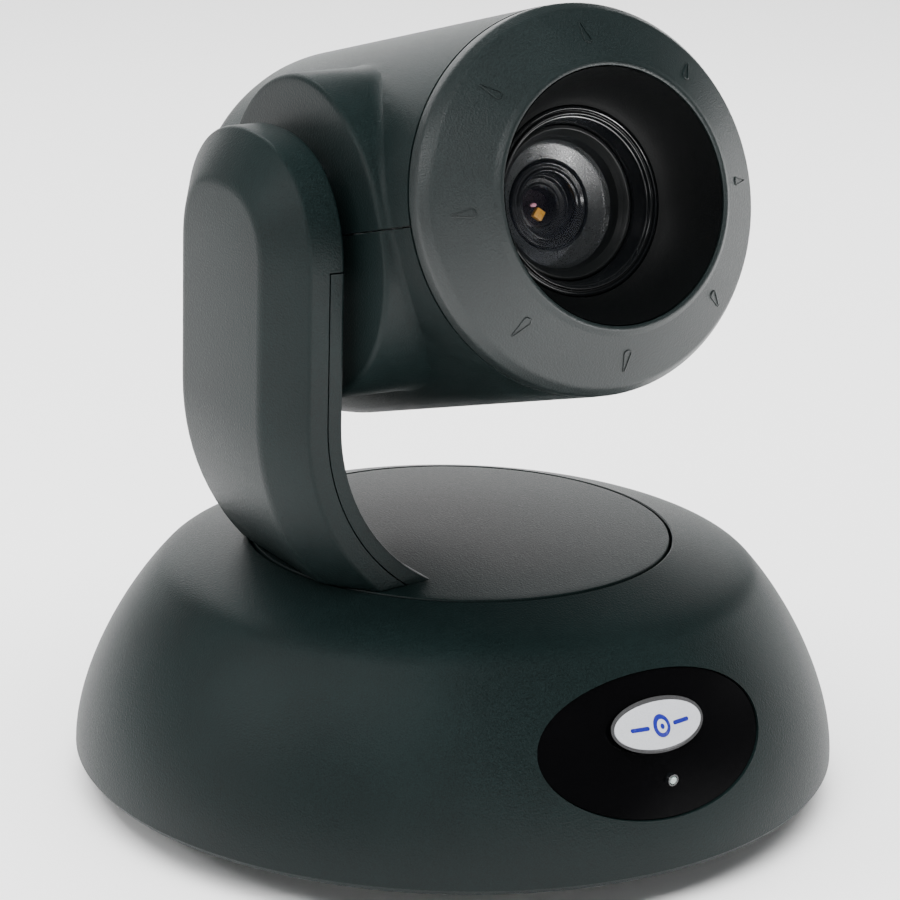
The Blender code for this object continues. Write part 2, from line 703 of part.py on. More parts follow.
def make_head_shells(build):
    halves = (("head_upper_shell", SPLIT_Z + GAP / 2, 80), ("head_lower_shell", -80, SPLIT_Z - GAP / 2))
    for name, low, high in halves:
        shell = build.add(
            name, lathe(barrel_outline(0, BARREL_FRONT), turn=FORWARD), "shell", parent=build.tilt)
        build.change(shell, "UNION", prism(boss_outline(0), 20, BOSS_FACE, SIDEWAYS), parent=build.tilt)
        build.cut(shell, lathe(barrel_outline(HEAD_WALL, 80), turn=FORWARD), build.tilt)
        build.cut(
            shell, prism(boss_outline(HEAD_WALL), 15, BOSS_FACE - HEAD_WALL, SIDEWAYS), build.tilt)
        build.change(shell, "INTERSECT", half_space(low, high), parent=build.tilt)
        build.cut(shell, rod(TILT_SHAFT_RADIUS + GAP, 40, 60, SMALL_ROUND, SIDEWAYS), build.tilt)
    holes = [shift(rod(2.6, -60, -20, FINE_ROUND), place) for place in head_screw_places()]
    build.cut(bpy.data.objects["head_lower_shell"], merge(*holes), build.tilt)
    screw = [(0, -40), (1.3, -40), (1.3, -44), (2.3, -44), (2.3, -46), (0, -46)]
    for number, place in enumerate(head_screw_places(), 1):
        build.add(
            f"head_screw_{number}", lathe(list(reversed(screw)), FINE_ROUND), "steel", place, build.tilt)


def head_screw_places():
    return [(0, y, 0) for y in (-40, 42)]


def make_front(build):
    seam = BARREL_FRONT + GAP
    spigot_inner = SPIGOT_RADIUS - SPIGOT_WALL
    bezel = [
        (BARREL_FRONT_RADIUS, seam), *BEZEL_SHOULDER,
        (BEZEL_RIM_RADIUS + 1.2, BEZEL_RIM - 0.3), (BEZEL_RIM_RADIUS + 0.5, BEZEL_RIM),
        (BEZEL_RIM_RADIUS, BEZEL_RIM - 0.4), (BEZEL_RIM_RADIUS, BEZEL_RIM - 2.8),
        (spigot_inner, BEZEL_SHOULDER[0][1]), (spigot_inner, SPIGOT_BACK),
        (SPIGOT_RADIUS, SPIGOT_BACK), (SPIGOT_RADIUS, seam)]
    build.add("front_bezel", lathe(bezel, turn=FORWARD), "shell", parent=build.tilt)
    bowl = bezier((30.5, 69.3), (29.6, 62.5), (26.5, 56.0), (HOOD_BACK_RADIUS, HOOD_BACK), 5)
    back = inset_curve(bowl, HOOD_WALL)
    back[0] = (31.0, 68.9)
    hood = [(HOOD_BACK_RADIUS, HOOD_BACK - 1.0), (HOOD_BACK_RADIUS + 2, HOOD_BACK - 1.0)]
    build.add(
        "lens_hood", lathe(bowl + hood + list(reversed(back[:-1])), turn=FORWARD), "dark",
        parent=build.tilt)


def make_lens(build):
    barrel = [
        (23.0, 52.0), (21.4, 52.0), (20.9, 51.4), (19.4, 45.9), (19.4, 40.6), (19.4, 2.0),
        (21.6, 2.0), (21.6, 47.0), (23.0, 48.0)]
    build.add("lens_barrel", lathe(barrel, LENS_ROUND, FORWARD), "dark", parent=build.tilt)
    ring = [(19.1, 45.6), (15.7, 43.4), (15.7, 41.0), (19.1, 41.0)]
    build.add("retaining_ring", lathe(ring, LENS_ROUND, FORWARD), "dark", parent=build.tilt)
    front = [(15.4 * step / 5, 44.8 - 2.0 * (step / 5) ** 2) for step in range(6)]
    rear = [(14.5 * step / 4, 38.6 - 1.6 * (step / 4) ** 2) for step in range(4, -1, -1)]
    glass = front + [(15.4, 40.7), (18.9, 40.7), (18.9, 37.0)] + rear
    build.add("front_glass", lathe(glass, SMALL_ROUND, FORWARD), "glass", parent=build.tilt)
    groups = (("zoom", 10.2, 27.0, 35.0), ("focus", 5.6, 9.0, 17.0))
    for name, inner, low, high in groups:
        middle = (low + high) / 2
        cell = [
            (19.0, low), (19.0, high), (15.0, high), (inner + 0.6, middle + 1.0), (inner, middle + 0.4),
            (inner, low)]
        build.add(f"{name}_cell", lathe(cell, SMALL_ROUND, FORWARD), "dark", parent=build.tilt)
        radius = inner - GAP
        lens = [(radius * step / 3, middle + 0.2 - (step / 3) ** 2) for step in range(4)]
        lens += [(radius, middle - 2.6), (0, middle - 3.2)]
        build.add(f"{name}_lens", lathe(lens, FINE_ROUND, FORWARD), "glass", parent=build.tilt)
    block = prism(rectangle((-21, -22.7), (21, 21), 2), -38, 1.7, FORWARD)
    block_object = build.add("camera_block", block, "aluminium", parent=build.tilt)
    build.cut(block_object, rod(10, -45, 10, SMALL_ROUND, FORWARD), build.tilt)
    board = prism(rectangle((-20, -21), (20, 20), 1), -39.9, -38.3, FORWARD)
    build.add("sensor_board", board, "board", parent=build.tilt)
    build.add(
        "image_sensor", prism(rectangle((-5, -4), (5, 4)), -38.3 + GAP, -36.4, FORWARD), "dark",
        parent=build.tilt)


def make_tilt_drive(build):
    hub = tube(HUB_RADIUS, TILT_SHAFT_RADIUS + GAP, BOSS_FACE + GAP, 57.0, SMALL_ROUND, SIDEWAYS)
    build.add("tilt_hub", hub, "dark", parent=build.tilt)
    shaft = [
        (3.5, 43.1), (12, 43.1), (12, 45.1), (TILT_SHAFT_RADIUS, 45.1), (TILT_SHAFT_RADIUS, 63.5),
        (3.5, 63.5)]
    build.add("tilt_shaft", lathe(shaft, SMALL_ROUND, SIDEWAYS), "steel", parent=build.tilt)
    toward_pinion = math.pi - TILT_REST
    half_pitch = math.pi / TILT_GEAR_TEETH
    gear = gear_outline(TILT_GEAR_TEETH, TILT_MODULE, toward_pinion + half_pitch)
    wheel = build.add(
        "tilt_gear", prism(gear, TILT_GEAR_NEAR, TILT_GEAR_FAR, SIDEWAYS), "nylon", parent=build.tilt)
    build.cut(wheel, rod(TILT_SHAFT_RADIUS + GAP, 50, 70, SMALL_ROUND, SIDEWAYS), build.tilt)
    bracket = build.add("head_bracket", prism(
        [(-47.4, 20), (-47.4, -25), (22, -25), (22, -23.0), (-45.4, -23.0), (-45.4, 20)],
        -20, 20, FORWARD), "steel", parent=build.tilt)
    build.cut(bracket, rod(TILT_SHAFT_RADIUS + GAP, 40, 60, SMALL_ROUND, SIDEWAYS), build.tilt)


def main():
    clear_scene()
    build = Builder()
    make_base_shell(build)
    make_base_plate(build)
    make_window(build)
    make_rear_panel(build)
    make_base_inside(build)
    make_turntable(build)
    make_arm(build)
    make_head_shells(build)
    make_front(build)
    make_lens(build)
    make_tilt_drive(build)


main()
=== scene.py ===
"""Visible surfaces of a one-armed pan, tilt and zoom camera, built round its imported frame.

Shapes are drawn in millimetres in the frame that suits them (the base, the arm or the
tilted head) and are brought into place and to metres when a piece is finished.
"""

import json
import logging
import math
from dataclasses import dataclass, field
from enum import Enum
from typing import Callable, Iterable, Sequence

import bmesh
import bpy
from mathutils import Matrix, Vector

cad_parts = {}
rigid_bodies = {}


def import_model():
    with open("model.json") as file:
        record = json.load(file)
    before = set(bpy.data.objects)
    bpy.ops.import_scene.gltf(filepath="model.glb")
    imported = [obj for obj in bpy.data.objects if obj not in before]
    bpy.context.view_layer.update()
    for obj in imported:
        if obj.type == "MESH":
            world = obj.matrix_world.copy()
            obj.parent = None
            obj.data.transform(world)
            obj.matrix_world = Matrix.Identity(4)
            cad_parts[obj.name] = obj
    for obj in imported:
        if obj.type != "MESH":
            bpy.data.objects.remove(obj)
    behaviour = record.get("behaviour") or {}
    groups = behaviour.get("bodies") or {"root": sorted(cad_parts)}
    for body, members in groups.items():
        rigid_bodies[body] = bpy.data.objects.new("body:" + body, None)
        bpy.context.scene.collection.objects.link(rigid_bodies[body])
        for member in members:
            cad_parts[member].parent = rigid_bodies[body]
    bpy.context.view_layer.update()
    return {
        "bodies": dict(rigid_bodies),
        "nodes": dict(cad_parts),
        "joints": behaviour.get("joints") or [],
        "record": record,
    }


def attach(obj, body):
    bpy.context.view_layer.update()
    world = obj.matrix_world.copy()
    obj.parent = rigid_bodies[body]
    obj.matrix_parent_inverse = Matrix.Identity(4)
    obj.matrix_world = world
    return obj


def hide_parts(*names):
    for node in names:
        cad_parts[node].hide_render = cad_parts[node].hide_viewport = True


Point = tuple[float, float]
Colour = tuple[float, float, float]
Ring = list[Vector]

MM = 0.001
TOUCH = 1e-4
LOG = logging.getLogger("ptz_camera")

BASE_FRAME = Matrix.Rotation(math.radians(2.5), 4, "Z")
ARM_FRAME = Matrix.Identity(4)
TILT_CENTRE = Vector((0.0, -0.9, 152.5))
TILT_REST = math.radians(15.8)
HEAD_FRAME = Matrix.Translation(TILT_CENTRE) @ Matrix.Rotation(-TILT_REST, 4, "X")
LENS_AXIS = Matrix.Rotation(math.radians(90), 4, "X")
SIDE_AXIS = Matrix.Rotation(math.radians(-90), 4, "Y")


class Body(str, Enum):
    """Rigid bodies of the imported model."""

    BASE = "base"
    ARM = "turntable_arm"
    HEAD = "head"
    ZOOM = "zoom_group"
    FOCUS = "focus_group"


class Slot(str, Enum):
    """Material slots of the record."""

    SHELL = "shell_plastic"
    WINDOW = "window_plastic"
    BADGE = "badge_metal"
    BLACK = "black_plastic"
    STEEL = "steel"
    BRASS = "brass"
    RUBBER = "rubber"
    BOARD = "circuit_board"
    NYLON = "gear_nylon"
    GLASS = "glass"


class Cut(str, Enum):
    """Boolean operations between two solids."""

    AWAY = "DIFFERENCE"
    COMMON = "INTERSECT"
    JOIN = "UNION"


# Finishes


class NodeSheet:
    """Short way to lay out the nodes of one material."""

    def __init__(self, name: str) -> None:
        """Start a material with a Principled shader and object coordinates.

        Args:
            name: Name of the new material.
        """
        self.material = bpy.data.materials.new(name)
        self.material.use_nodes = True
        self.tree = self.material.node_tree
        self.shader = self.tree.nodes["Principled BSDF"]
        self.place = self.tree.nodes.new("ShaderNodeTexCoord").outputs["Object"]

    def set(self, **values: object) -> None:
        """Set unlinked inputs of the shader by name, with underscores for spaces."""
        for name, value in values.items():
            self.shader.inputs[name.replace("_", " ")].default_value = value

    def link(self, source: object, target: object) -> None:
        """Join an output to an input."""
        self.tree.links.new(source, target)

    def noise(self, scale: float, detail: float = 2.0, stretch: Sequence[float] | None = None) -> object:
        """Add a noise pattern in object space.

        Args:
            scale: Repeats per metre.
            detail: Number of finer layers.
            stretch: Scale along each axis for brushed grain, or None.

        Returns:
            The factor output.
        """
        node = self.tree.nodes.new("ShaderNodeTexNoise")
        node.inputs["Scale"].default_value = scale
        node.inputs["Detail"].default_value = detail
        self.link(self._stretched(stretch), node.inputs["Vector"])
        return node.outputs["Fac"]

    def cells(self, scale: float) -> object:
        """Add a pattern of rounded cells and return its distance output."""
        node = self.tree.nodes.new("ShaderNodeTexVoronoi")
        node.feature = "SMOOTH_F1"
        node.inputs["Scale"].default_value = scale
        self.link(self.place, node.inputs["Vector"])
        return node.outputs["Distance"]

    def _stretched(self, stretch: Sequence[float] | None) -> object:
        """Object coordinates, scaled along the axes when asked."""
        if stretch is None:
            return self.place
        mapping = self.tree.nodes.new("ShaderNodeMapping")
        mapping.inputs["Scale"].default_value = stretch
        self.link(self.place, mapping.inputs["Vector"])
        return mapping.outputs["Vector"]

    def spread(self, factor: object, low: float, high: float, start: float = 0.3, end: float = 0.7) -> object:
        """Map a factor to a range of values.

        Args:
            factor: Output to map.
            low: Value at the start.
            high: Value at the end.
            start: Factor that gives the low value.
            end: Factor that gives the high value.

        Returns:
            The mapped output.
        """
        node = self.tree.nodes.new("ShaderNodeMapRange")
        for name, value in (("From Min", start), ("From Max", end), ("To Min", low), ("To Max", high)):
            node.inputs[name].default_value = value
        self.link(factor, node.inputs["Value"])
        return node.outputs["Result"]

    def blend(self, factor: object, dark: Colour, light: Colour) -> object:
        """Mix two colours by a factor and return the colour output."""
        node = self.tree.nodes.new("ShaderNodeMix")
        node.data_type = "RGBA"
        node.inputs[6].default_value = (*dark, 1.0)
        node.inputs[7].default_value = (*light, 1.0)
        self.link(factor, node.inputs[0])
        return node.outputs[2]

    def add(self, first: object, second: object, weight: float) -> object:
        """Return first plus second times a weight."""
        node = self.tree.nodes.new("ShaderNodeMath")
        node.operation = "MULTIPLY_ADD"
        node.inputs[1].default_value = weight
        self.link(second, node.inputs[0])
        self.link(first, node.inputs[2])
        return node.outputs[0]

    def bump(self, height: object, strength: float, distance: float) -> None:
        """Bump the surface by a height pattern, its depth in metres."""
        node = self.tree.nodes.new("ShaderNodeBump")
        node.inputs["Strength"].default_value = strength
        node.inputs["Distance"].default_value = distance
        self.link(height, node.inputs["Height"])
        self.link(node.outputs["Normal"], self.shader.inputs["Normal"])


def shade(colour: Colour, amount: float) -> Colour:
    """The colour made darker or lighter by a factor."""
    return tuple(channel * amount for channel in colour)


@dataclass(frozen=True)
class GrainedPlastic:
    """Moulded plastic with a fine pebbled grain."""

    name: str
    colour: Colour
    roughness: float = 0.5
    grain: float = 2300.0
    depth: float = 0.00011
    strength: float = 0.6
    contrast: float = 0.35
    specular: float = 0.5

    def build(self) -> bpy.types.Material:
        """Make the material."""
        sheet = NodeSheet(self.name)
        pebbles = sheet.cells(self.grain)
        fine = sheet.noise(self.grain * 1.3, 2.0)
        cloud = sheet.noise(28.0, 3.0)
        height = sheet.add(pebbles, fine, 0.6)
        speckle = sheet.add(fine, cloud, 0.35)
        tone = sheet.spread(speckle, 0.0, 1.0, 0.45, 0.95)
        low, high = 1.0 - self.contrast, 1.0 + self.contrast
        colour = sheet.blend(tone, shade(self.colour, low), shade(self.colour, high))
        sheet.link(colour, sheet.shader.inputs["Base Color"])
        rough = sheet.spread(fine, self.roughness - 0.06, self.roughness + 0.08)
        sheet.link(rough, sheet.shader.inputs["Roughness"])
        sheet.set(Specular_IOR_Level=self.specular)
        sheet.bump(height, self.strength, self.depth)
        return sheet.material


@dataclass(frozen=True)
class GlossPlastic:
    """Polished plastic with faint flow marks and fine dust haze."""

    name: str
    colour: Colour
    roughness: float = 0.05
    coat: float = 0.6
    specular: float = 0.5
    wave: float = 0.08

    def build(self) -> bpy.types.Material:
        """Make the material."""
        sheet = NodeSheet(self.name)
        cloud = sheet.noise(60.0, 4.0)
        colour = sheet.blend(cloud, shade(self.colour, 0.8), shade(self.colour, 1.2))
        sheet.link(colour, sheet.shader.inputs["Base Color"])
        haze = sheet.noise(900.0, 2.0)
        rough = sheet.spread(haze, self.roughness * 0.7, self.roughness * 1.6)
        sheet.link(rough, sheet.shader.inputs["Roughness"])
        sheet.set(Coat_Weight=self.coat, Coat_Roughness=0.03, Specular_IOR_Level=self.specular)
        sheet.bump(cloud, self.wave, 0.0001)
        return sheet.material


@dataclass(frozen=True)
class Metal:
    """Bare or plated metal with a drawn or turned grain."""

    name: str
    colour: Colour
    roughness: float = 0.3
    grain: float = 900.0
    stretch: Colour = (1.0, 1.0, 1.0)
    depth: float = 0.00002

    def build(self) -> bpy.types.Material:
        """Make the material."""
        sheet = NodeSheet(self.name)
        grain = sheet.noise(self.grain, 4.0, self.stretch)
        cloud = sheet.noise(45.0, 2.0)
        colour = sheet.blend(cloud, shade(self.colour, 0.88), self.colour)
        sheet.link(colour, sheet.shader.inputs["Base Color"])
        rough = sheet.spread(grain, self.roughness * 0.75, self.roughness * 1.3)
        sheet.link(rough, sheet.shader.inputs["Roughness"])
        sheet.set(Metallic=1.0)
        sheet.bump(grain, 0.3, self.depth)
        return sheet.material


@dataclass(frozen=True)
class Glass:
    """Coated optical glass that shows what lies behind it."""

    name: str
    colour: Colour
    density: float = 0.25
    coat_tint: Colour = (0.7, 0.75, 1.0)

    def build(self) -> bpy.types.Material:
        """Make the material as a clear layer, so that the pieces behind it stay lit."""
        sheet = NodeSheet(self.name)
        dust = sheet.noise(350.0, 5.0)
        rough = sheet.spread(dust, 0.01, 0.035)
        sheet.link(rough, sheet.shader.inputs["Roughness"])
        tint = sheet.blend(dust, shade(self.colour, 0.9), self.colour)
        sheet.link(tint, sheet.shader.inputs["Base Color"])
        sheet.set(
            Alpha=self.density, IOR=1.7, Specular_IOR_Level=0.7, Coat_Weight=1.0,
            Coat_Roughness=0.01, Coat_Tint=(*self.coat_tint, 1.0))
        return sheet.material


@dataclass(frozen=True)
class Board:
    """Circuit board with a green mask and a faint pattern of tracks."""

    name: str
    colour: Colour = (0.01, 0.09, 0.035)

    def build(self) -> bpy.types.Material:
        """Make the material."""
        sheet = NodeSheet(self.name)
        tracks = sheet.tree.nodes.new("ShaderNodeTexBrick")
        tracks.inputs["Scale"].default_value = 90.0
        tracks.inputs["Color1"].default_value = (*self.colour, 1.0)
        tracks.inputs["Color2"].default_value = (*shade(self.colour, 1.3), 1.0)
        tracks.inputs["Mortar"].default_value = (*shade(self.colour, 2.4), 1.0)
        sheet.link(sheet.place, tracks.inputs["Vector"])
        sheet.link(tracks.outputs["Color"], sheet.shader.inputs["Base Color"])
        sheet.set(Roughness=0.35)
        sheet.bump(tracks.outputs["Fac"], 0.2, 0.00003)
        return sheet.material


CHARCOAL: Colour = (0.0034, 0.0074, 0.0073)
SHELL = GrainedPlastic("charcoal_grained_plastic", CHARCOAL, roughness=0.47, contrast=0.65, specular=0.16)
# Bezel plastic: its colour is a little lighter than the shell's charcoal. This is painted light, standing in
# for the extra light the bezel catches. Its higher specular is a glossier finish.
BEZEL_PAINTED_LIGHTER = GrainedPlastic(
    "bezel_plastic_painted_lighter", (0.005, 0.0085, 0.0085), roughness=0.42, contrast=0.55, specular=0.4)
SMOOTH_BLACK = GrainedPlastic(
    "smooth_black_plastic", (0.008, 0.009, 0.0095), roughness=0.42, depth=0.00002, contrast=0.2)
LENS_BLACK = GrainedPlastic(
    "lens_black_anodising", (0.006, 0.0063, 0.0065), roughness=0.3, grain=2600.0, depth=0.00001,
    contrast=0.2)
SOCKET_BLACK = GrainedPlastic(
    "socket_black_nylon", (0.012, 0.012, 0.013), roughness=0.55, depth=0.00002, contrast=0.2)
NYLON = GrainedPlastic("natural_nylon", (0.62, 0.6, 0.54), roughness=0.45, contrast=0.08)
RUBBER = GrainedPlastic(
    "foot_rubber", (0.014, 0.014, 0.014), roughness=0.85, grain=1500.0, depth=0.00008, specular=0.3)
WINDOW_BLACK = GlossPlastic("infrared_window_gloss", (0.0008, 0.0008, 0.001), 0.13, 0.0, 0.16, 0.01)
BADGE_SILVER = GrainedPlastic(
    "badge_pearl_silver", (0.44, 0.45, 0.475), roughness=0.3, grain=3000.0, depth=0.00001, contrast=0.06)
BADGE_RIM = Metal("badge_polished_rim", (0.8, 0.8, 0.82), 0.16, 1200.0)
BADGE_INK = GlossPlastic("badge_blue_ink", (0.012, 0.014, 0.19), 0.2)
STEEL = Metal("zinc_plated_steel", (0.55, 0.56, 0.58), 0.34, 700.0)
BRUSHED = Metal("brushed_steel", (0.5, 0.5, 0.52), 0.3, 900.0, (1.0, 0.04, 1.0))
CAST = Metal("cast_aluminium", (0.62, 0.63, 0.65), 0.48, 500.0, depth=0.00006)
BRASS = Metal("machined_brass", (0.72, 0.52, 0.2), 0.28, 1500.0)
GOLD = Metal("gold_contact", (0.85, 0.6, 0.2), 0.25, 1800.0)
# Painted reflection: this amber colour stands in for a glint seen in the lens glass.
AMBER_GLINT_PAINT = GlossPlastic("amber_painted_glint", (0.75, 0.36, 0.05), 0.25)
# Painted reflection: this pink colour stands in for a coloured glint in the lens glass.
PINK_GLINT_PAINT = GlossPlastic("pink_painted_glint", (0.8, 0.35, 0.45), 0.15)
BOWL_BLACK = GrainedPlastic(
    "bowl_grained_black", (0.0022, 0.0025, 0.0026), roughness=0.5, grain=2400.0, depth=0.00004,
    contrast=0.4, specular=0.15)
GLOSS_RING = GlossPlastic("glossy_black_ring", (0.003, 0.0035, 0.004), 0.16, 0.3)
CONE_GREY = GrainedPlastic(
    "lens_cone_grey", (0.016, 0.018, 0.018), roughness=0.3, grain=2600.0, depth=0.000005, contrast=0.15,
    specular=0.9)
SATIN_RING = GrainedPlastic(
    "satin_grey_ring", (0.006, 0.0068, 0.007), roughness=0.34, grain=2600.0, depth=0.00001, contrast=0.2,
    specular=0.35)
FRONT_GLASS = Glass("front_element_glass", (0.03, 0.035, 0.04), 0.05)
INNER_GLASS = Glass("inner_element_glass", (0.03, 0.02, 0.035), 0.08, (1.0, 0.65, 0.8))
CLEAR = Glass("clear_light_pipe", (0.25, 0.33, 0.31), 0.9, (1.0, 1.0, 1.0))
BOARD = Board("green_circuit_board")


class Paint:
    """Builds each finish once and hands it out."""

    def __init__(self) -> None:
        """Start with no material made."""
        self._made: dict[str, bpy.types.Material] = {}

    def of(self, finish: object) -> bpy.types.Material:
        """Material of a finish, made at its first use."""
        if finish.name not in self._made:
            self._made[finish.name] = finish.build()
        return self._made[finish.name]


PAINT = Paint()


# Outlines


def arc(centre: Point, radius: float, first: float, last: float, count: int) -> list[Point]:
    """Points on a circle between two angles in degrees, both ends included."""
    points = []
    for step in range(count + 1):
        angle = math.radians(first + (last - first) * step / count)
        points.append((centre[0] + radius * math.cos(angle), centre[1] + radius * math.sin(angle)))
    return points


def bezier(start: Point, first: Point, second: Point, end: Point, count: int) -> list[Point]:
    """Points along a cubic curve, both ends included."""
    points = []
    for step in range(count + 1):
        t = step / count
        weights = ((1 - t) ** 3, 3 * t * (1 - t) ** 2, 3 * t * t * (1 - t), t ** 3)
        pairs = list(zip(weights, (start, first, second, end)))
        points.append((sum(w * p[0] for w, p in pairs), sum(w * p[1] for w, p in pairs)))
    return points


def ellipse(centre: Point, half_width: float, half_height: float, count: int) -> list[Point]:
    """Closed oval outline."""
    unit = arc((0.0, 0.0), 1.0, 0.0, 360.0 - 360.0 / count, count - 1)
    return [(centre[0] + half_width * x, centre[1] + half_height * y) for x, y in unit]


def rectangle(low: Point, high: Point, corner: float = 0.0, count: int = 5) -> list[Point]:
    """Closed rectangle between two corners, its own corners rounded when asked."""
    if corner <= 0.0:
        return [low, (high[0], low[1]), high, (low[0], high[1])]
    centres = (
        (high[0] - corner, high[1] - corner, 0.0), (low[0] + corner, high[1] - corner, 90.0),
        (low[0] + corner, low[1] + corner, 180.0), (high[0] - corner, low[1] + corner, 270.0))
    points = []
    for x, y, start in centres:
        points += arc((x, y), corner, start, start + 90.0, count)
    return points


def soften(points: Sequence[tuple[float, ...]], count: int = 4, closed: bool = True) -> list[Point]:
    """Round the corners of an outline.

    Args:
        points: Corners as (x, y) or (x, y, radius); a corner with no radius stays sharp.
        count: Steps in each rounded corner.
        closed: Whether the last corner joins the first.

    Returns:
        The outline with arcs in place of the corners that have a radius.
    """
    rounded = []
    size = len(points)
    for index, corner in enumerate(points):
        here = Vector(corner[:2])
        radius = corner[2] if len(corner) > 2 else 0.0
        inside = closed or 0 < index < size - 1
        if radius <= 0.0 or not inside:
            rounded.append((here.x, here.y))
            continue
        before = (Vector(points[index - 1][:2]) - here).normalized()
        after = (Vector(points[(index + 1) % size][:2]) - here).normalized()
        half = before.angle(after) / 2
        start = here + before * radius / math.tan(half)
        end = here + after * radius / math.tan(half)
        for step in range(count + 1):
            t = step / count
            spot = start.lerp(here, t).lerp(here.lerp(end, t), t)
            rounded.append((spot.x, spot.y))
    return rounded


# Solids


def placed(bm: bmesh.types.BMesh, *turns: Matrix) -> bmesh.types.BMesh:
    """Move a whole mesh by matrices, the first one first."""
    for turn in turns:
        bmesh.ops.transform(bm, matrix=turn, verts=bm.verts)
    return bm


def lathe(outline: Sequence[Point], steps: int = 128, turn: Matrix = Matrix.Identity(4)) -> bmesh.types.BMesh:
    """Spin a closed (radius, height) outline into a solid.

    Args:
        outline: Corners of the half section.
        steps: Sections round the axis.
        turn: Matrix that brings +Z onto the wanted axis.

    Returns:
        The solid.
    """
    bm = bmesh.new()
    verts = [bm.verts.new((radius, 0.0, height)) for radius, height in outline]
    edges = []
    for one, other in zip(verts, verts[1:] + verts[:1]):
        if max(one.co.x, other.co.x) > TOUCH:
            edges.append(bm.edges.new((one, other)))
    bmesh.ops.spin(
        bm, geom=verts + edges, cent=(0, 0, 0), axis=(0, 0, 1), angle=math.tau, steps=steps,
        use_merge=True)
    return placed(bm, turn)


def tube(outer: float, inner: float, low: float, high: float, steps: int = 64,
         turn: Matrix = Matrix.Identity(4), edge: float = 0.2) -> bmesh.types.BMesh:
    """Ring of rectangular section with softened edges."""
    corners = [(outer, low, edge), (outer, high, edge), (inner, high, edge), (inner, low, edge)]
    return lathe(soften(corners, 2), steps, turn)


def prism(outline: Sequence[Point], low: float, high: float,
          turn: Matrix = Matrix.Identity(4), edge: float = 0.0) -> bmesh.types.BMesh:
    """Extrude a flat outline between two heights.

    Args:
        outline: Closed outline.
        low: Height of the first face.
        high: Height of the last face.
        turn: Matrix that brings +Z onto the wanted direction.
        edge: Radius of the rounding on the rims of the last face, or 0.

    Returns:
        The solid.
    """
    bm = bmesh.new()
    face = bm.faces.new([bm.verts.new((x, y, low)) for x, y in outline])
    grown = bmesh.ops.extrude_face_region(bm, geom=[face])["geom"]
    top = [item for item in grown if isinstance(item, bmesh.types.BMVert)]
    bmesh.ops.translate(bm, verts=top, vec=(0, 0, high - low))
    if edge > 0.0:
        rim = {one for vert in top for one in vert.link_edges if one.other_vert(vert) in top}
        round_edges(bm, rim, edge, 2)
    return placed(bm, turn)


def round_edges(bm: bmesh.types.BMesh, edges: Iterable[bmesh.types.BMEdge], width: float,
                segments: int) -> None:
    """Round the given edges of a mesh."""
    bmesh.ops.bevel(
        bm, geom=list(edges), offset=width, offset_type="OFFSET", segments=segments,
        profile=0.5, affect="EDGES", material=-1, clamp_overlap=True)


def loft(rings: Sequence[Ring]) -> bmesh.types.BMesh:
    """Closed solid through rings of equal count, its two ends filled."""
    bm = bmesh.new()
    loops = []
    for ring in rings:
        verts = [bm.verts.new(point) for point in ring]
        loops.append([bm.edges.new(pair) for pair in zip(verts, verts[1:] + verts[:1])])
    for first, second in zip(loops, loops[1:]):
        bmesh.ops.bridge_loops(bm, edges=first + second)
    bmesh.ops.edgenet_fill(bm, edges=loops[0])
    bmesh.ops.edgenet_fill(bm, edges=loops[-1])
    return bm


def together(*parts: bmesh.types.BMesh) -> bmesh.types.BMesh:
    """Gather several meshes into the first."""
    target = parts[0]
    for part in parts[1:]:
        mesh = bpy.data.meshes.new("part")
        part.to_mesh(mesh)
        part.free()
        target.from_mesh(mesh)
        bpy.data.meshes.remove(mesh)
    return target


def tidy(bm: bmesh.types.BMesh) -> bmesh.types.BMesh:
    """Weld touching points and turn all faces outwards."""
    bmesh.ops.remove_doubles(bm, verts=bm.verts, dist=TOUCH)
    bmesh.ops.recalc_face_normals(bm, faces=bm.faces)
    return bm


def combine(bm: bmesh.types.BMesh, how: Cut, *tools: bmesh.types.BMesh) -> bmesh.types.BMesh:
    """Boolean of a solid with others, one after another.

    Args:
        bm: The solid that is changed; it is freed.
        how: What is done with each tool.
        tools: The other solids; they are freed.

    Returns:
        The result as a new mesh.
    """
    for tool in tools:
        objects = []
        for name, source in (("work", bm), ("tool", tool)):
            mesh = bpy.data.meshes.new(name)
            tidy(source).to_mesh(mesh)
            source.free()
            obj = bpy.data.objects.new(name, mesh)
            bpy.context.scene.collection.objects.link(obj)
            objects.append(obj)
        modifier = objects[0].modifiers.new("combine", "BOOLEAN")
        modifier.operation = how.value
        modifier.solver = "EXACT"
        modifier.object = objects[1]
        graph = bpy.context.evaluated_depsgraph_get()
        result = bpy.data.meshes.new_from_object(objects[0].evaluated_get(graph))
        bm = bmesh.new()
        bm.from_mesh(result)
        bpy.data.meshes.remove(result)
        for obj in objects:
            mesh = obj.data
            bpy.data.objects.remove(obj)
            bpy.data.meshes.remove(mesh)
    return bm


@dataclass(frozen=True)
class Piece:
    """How a finished mesh joins the model."""

    name: str
    finish: object
    body: Body
    slot: Slot
    stands_for: tuple[str, ...] = ()
    sharp: float = 30.0

    def make(self, bm: bmesh.types.BMesh, frame: Matrix) -> bpy.types.Object:
        """Bring a mesh into place, dress it and hang it on its body.

        Args:
            bm: The mesh in millimetres in its own frame; it is freed.
            frame: Matrix from that frame to the object's.

        Returns:
            The new object.
        """
        tidy(bm)
        placed(bm, frame, Matrix.Scale(MM, 4))
        mesh = bpy.data.meshes.new(self.name)
        bm.to_mesh(mesh)
        bm.free()
        mesh.shade_smooth()
        mesh.set_sharp_from_angle(angle=math.radians(self.sharp))
        obj = bpy.data.objects.new(self.name, mesh)
        bpy.context.scene.collection.objects.link(obj)
        obj.data.materials.append(PAINT.of(self.finish))
        if self.stands_for:
            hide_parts(*self.stands_for)
        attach(obj, self.body.value)
        LOG.info("%s: %d faces", self.name, len(mesh.polygons))
        return obj


# Base


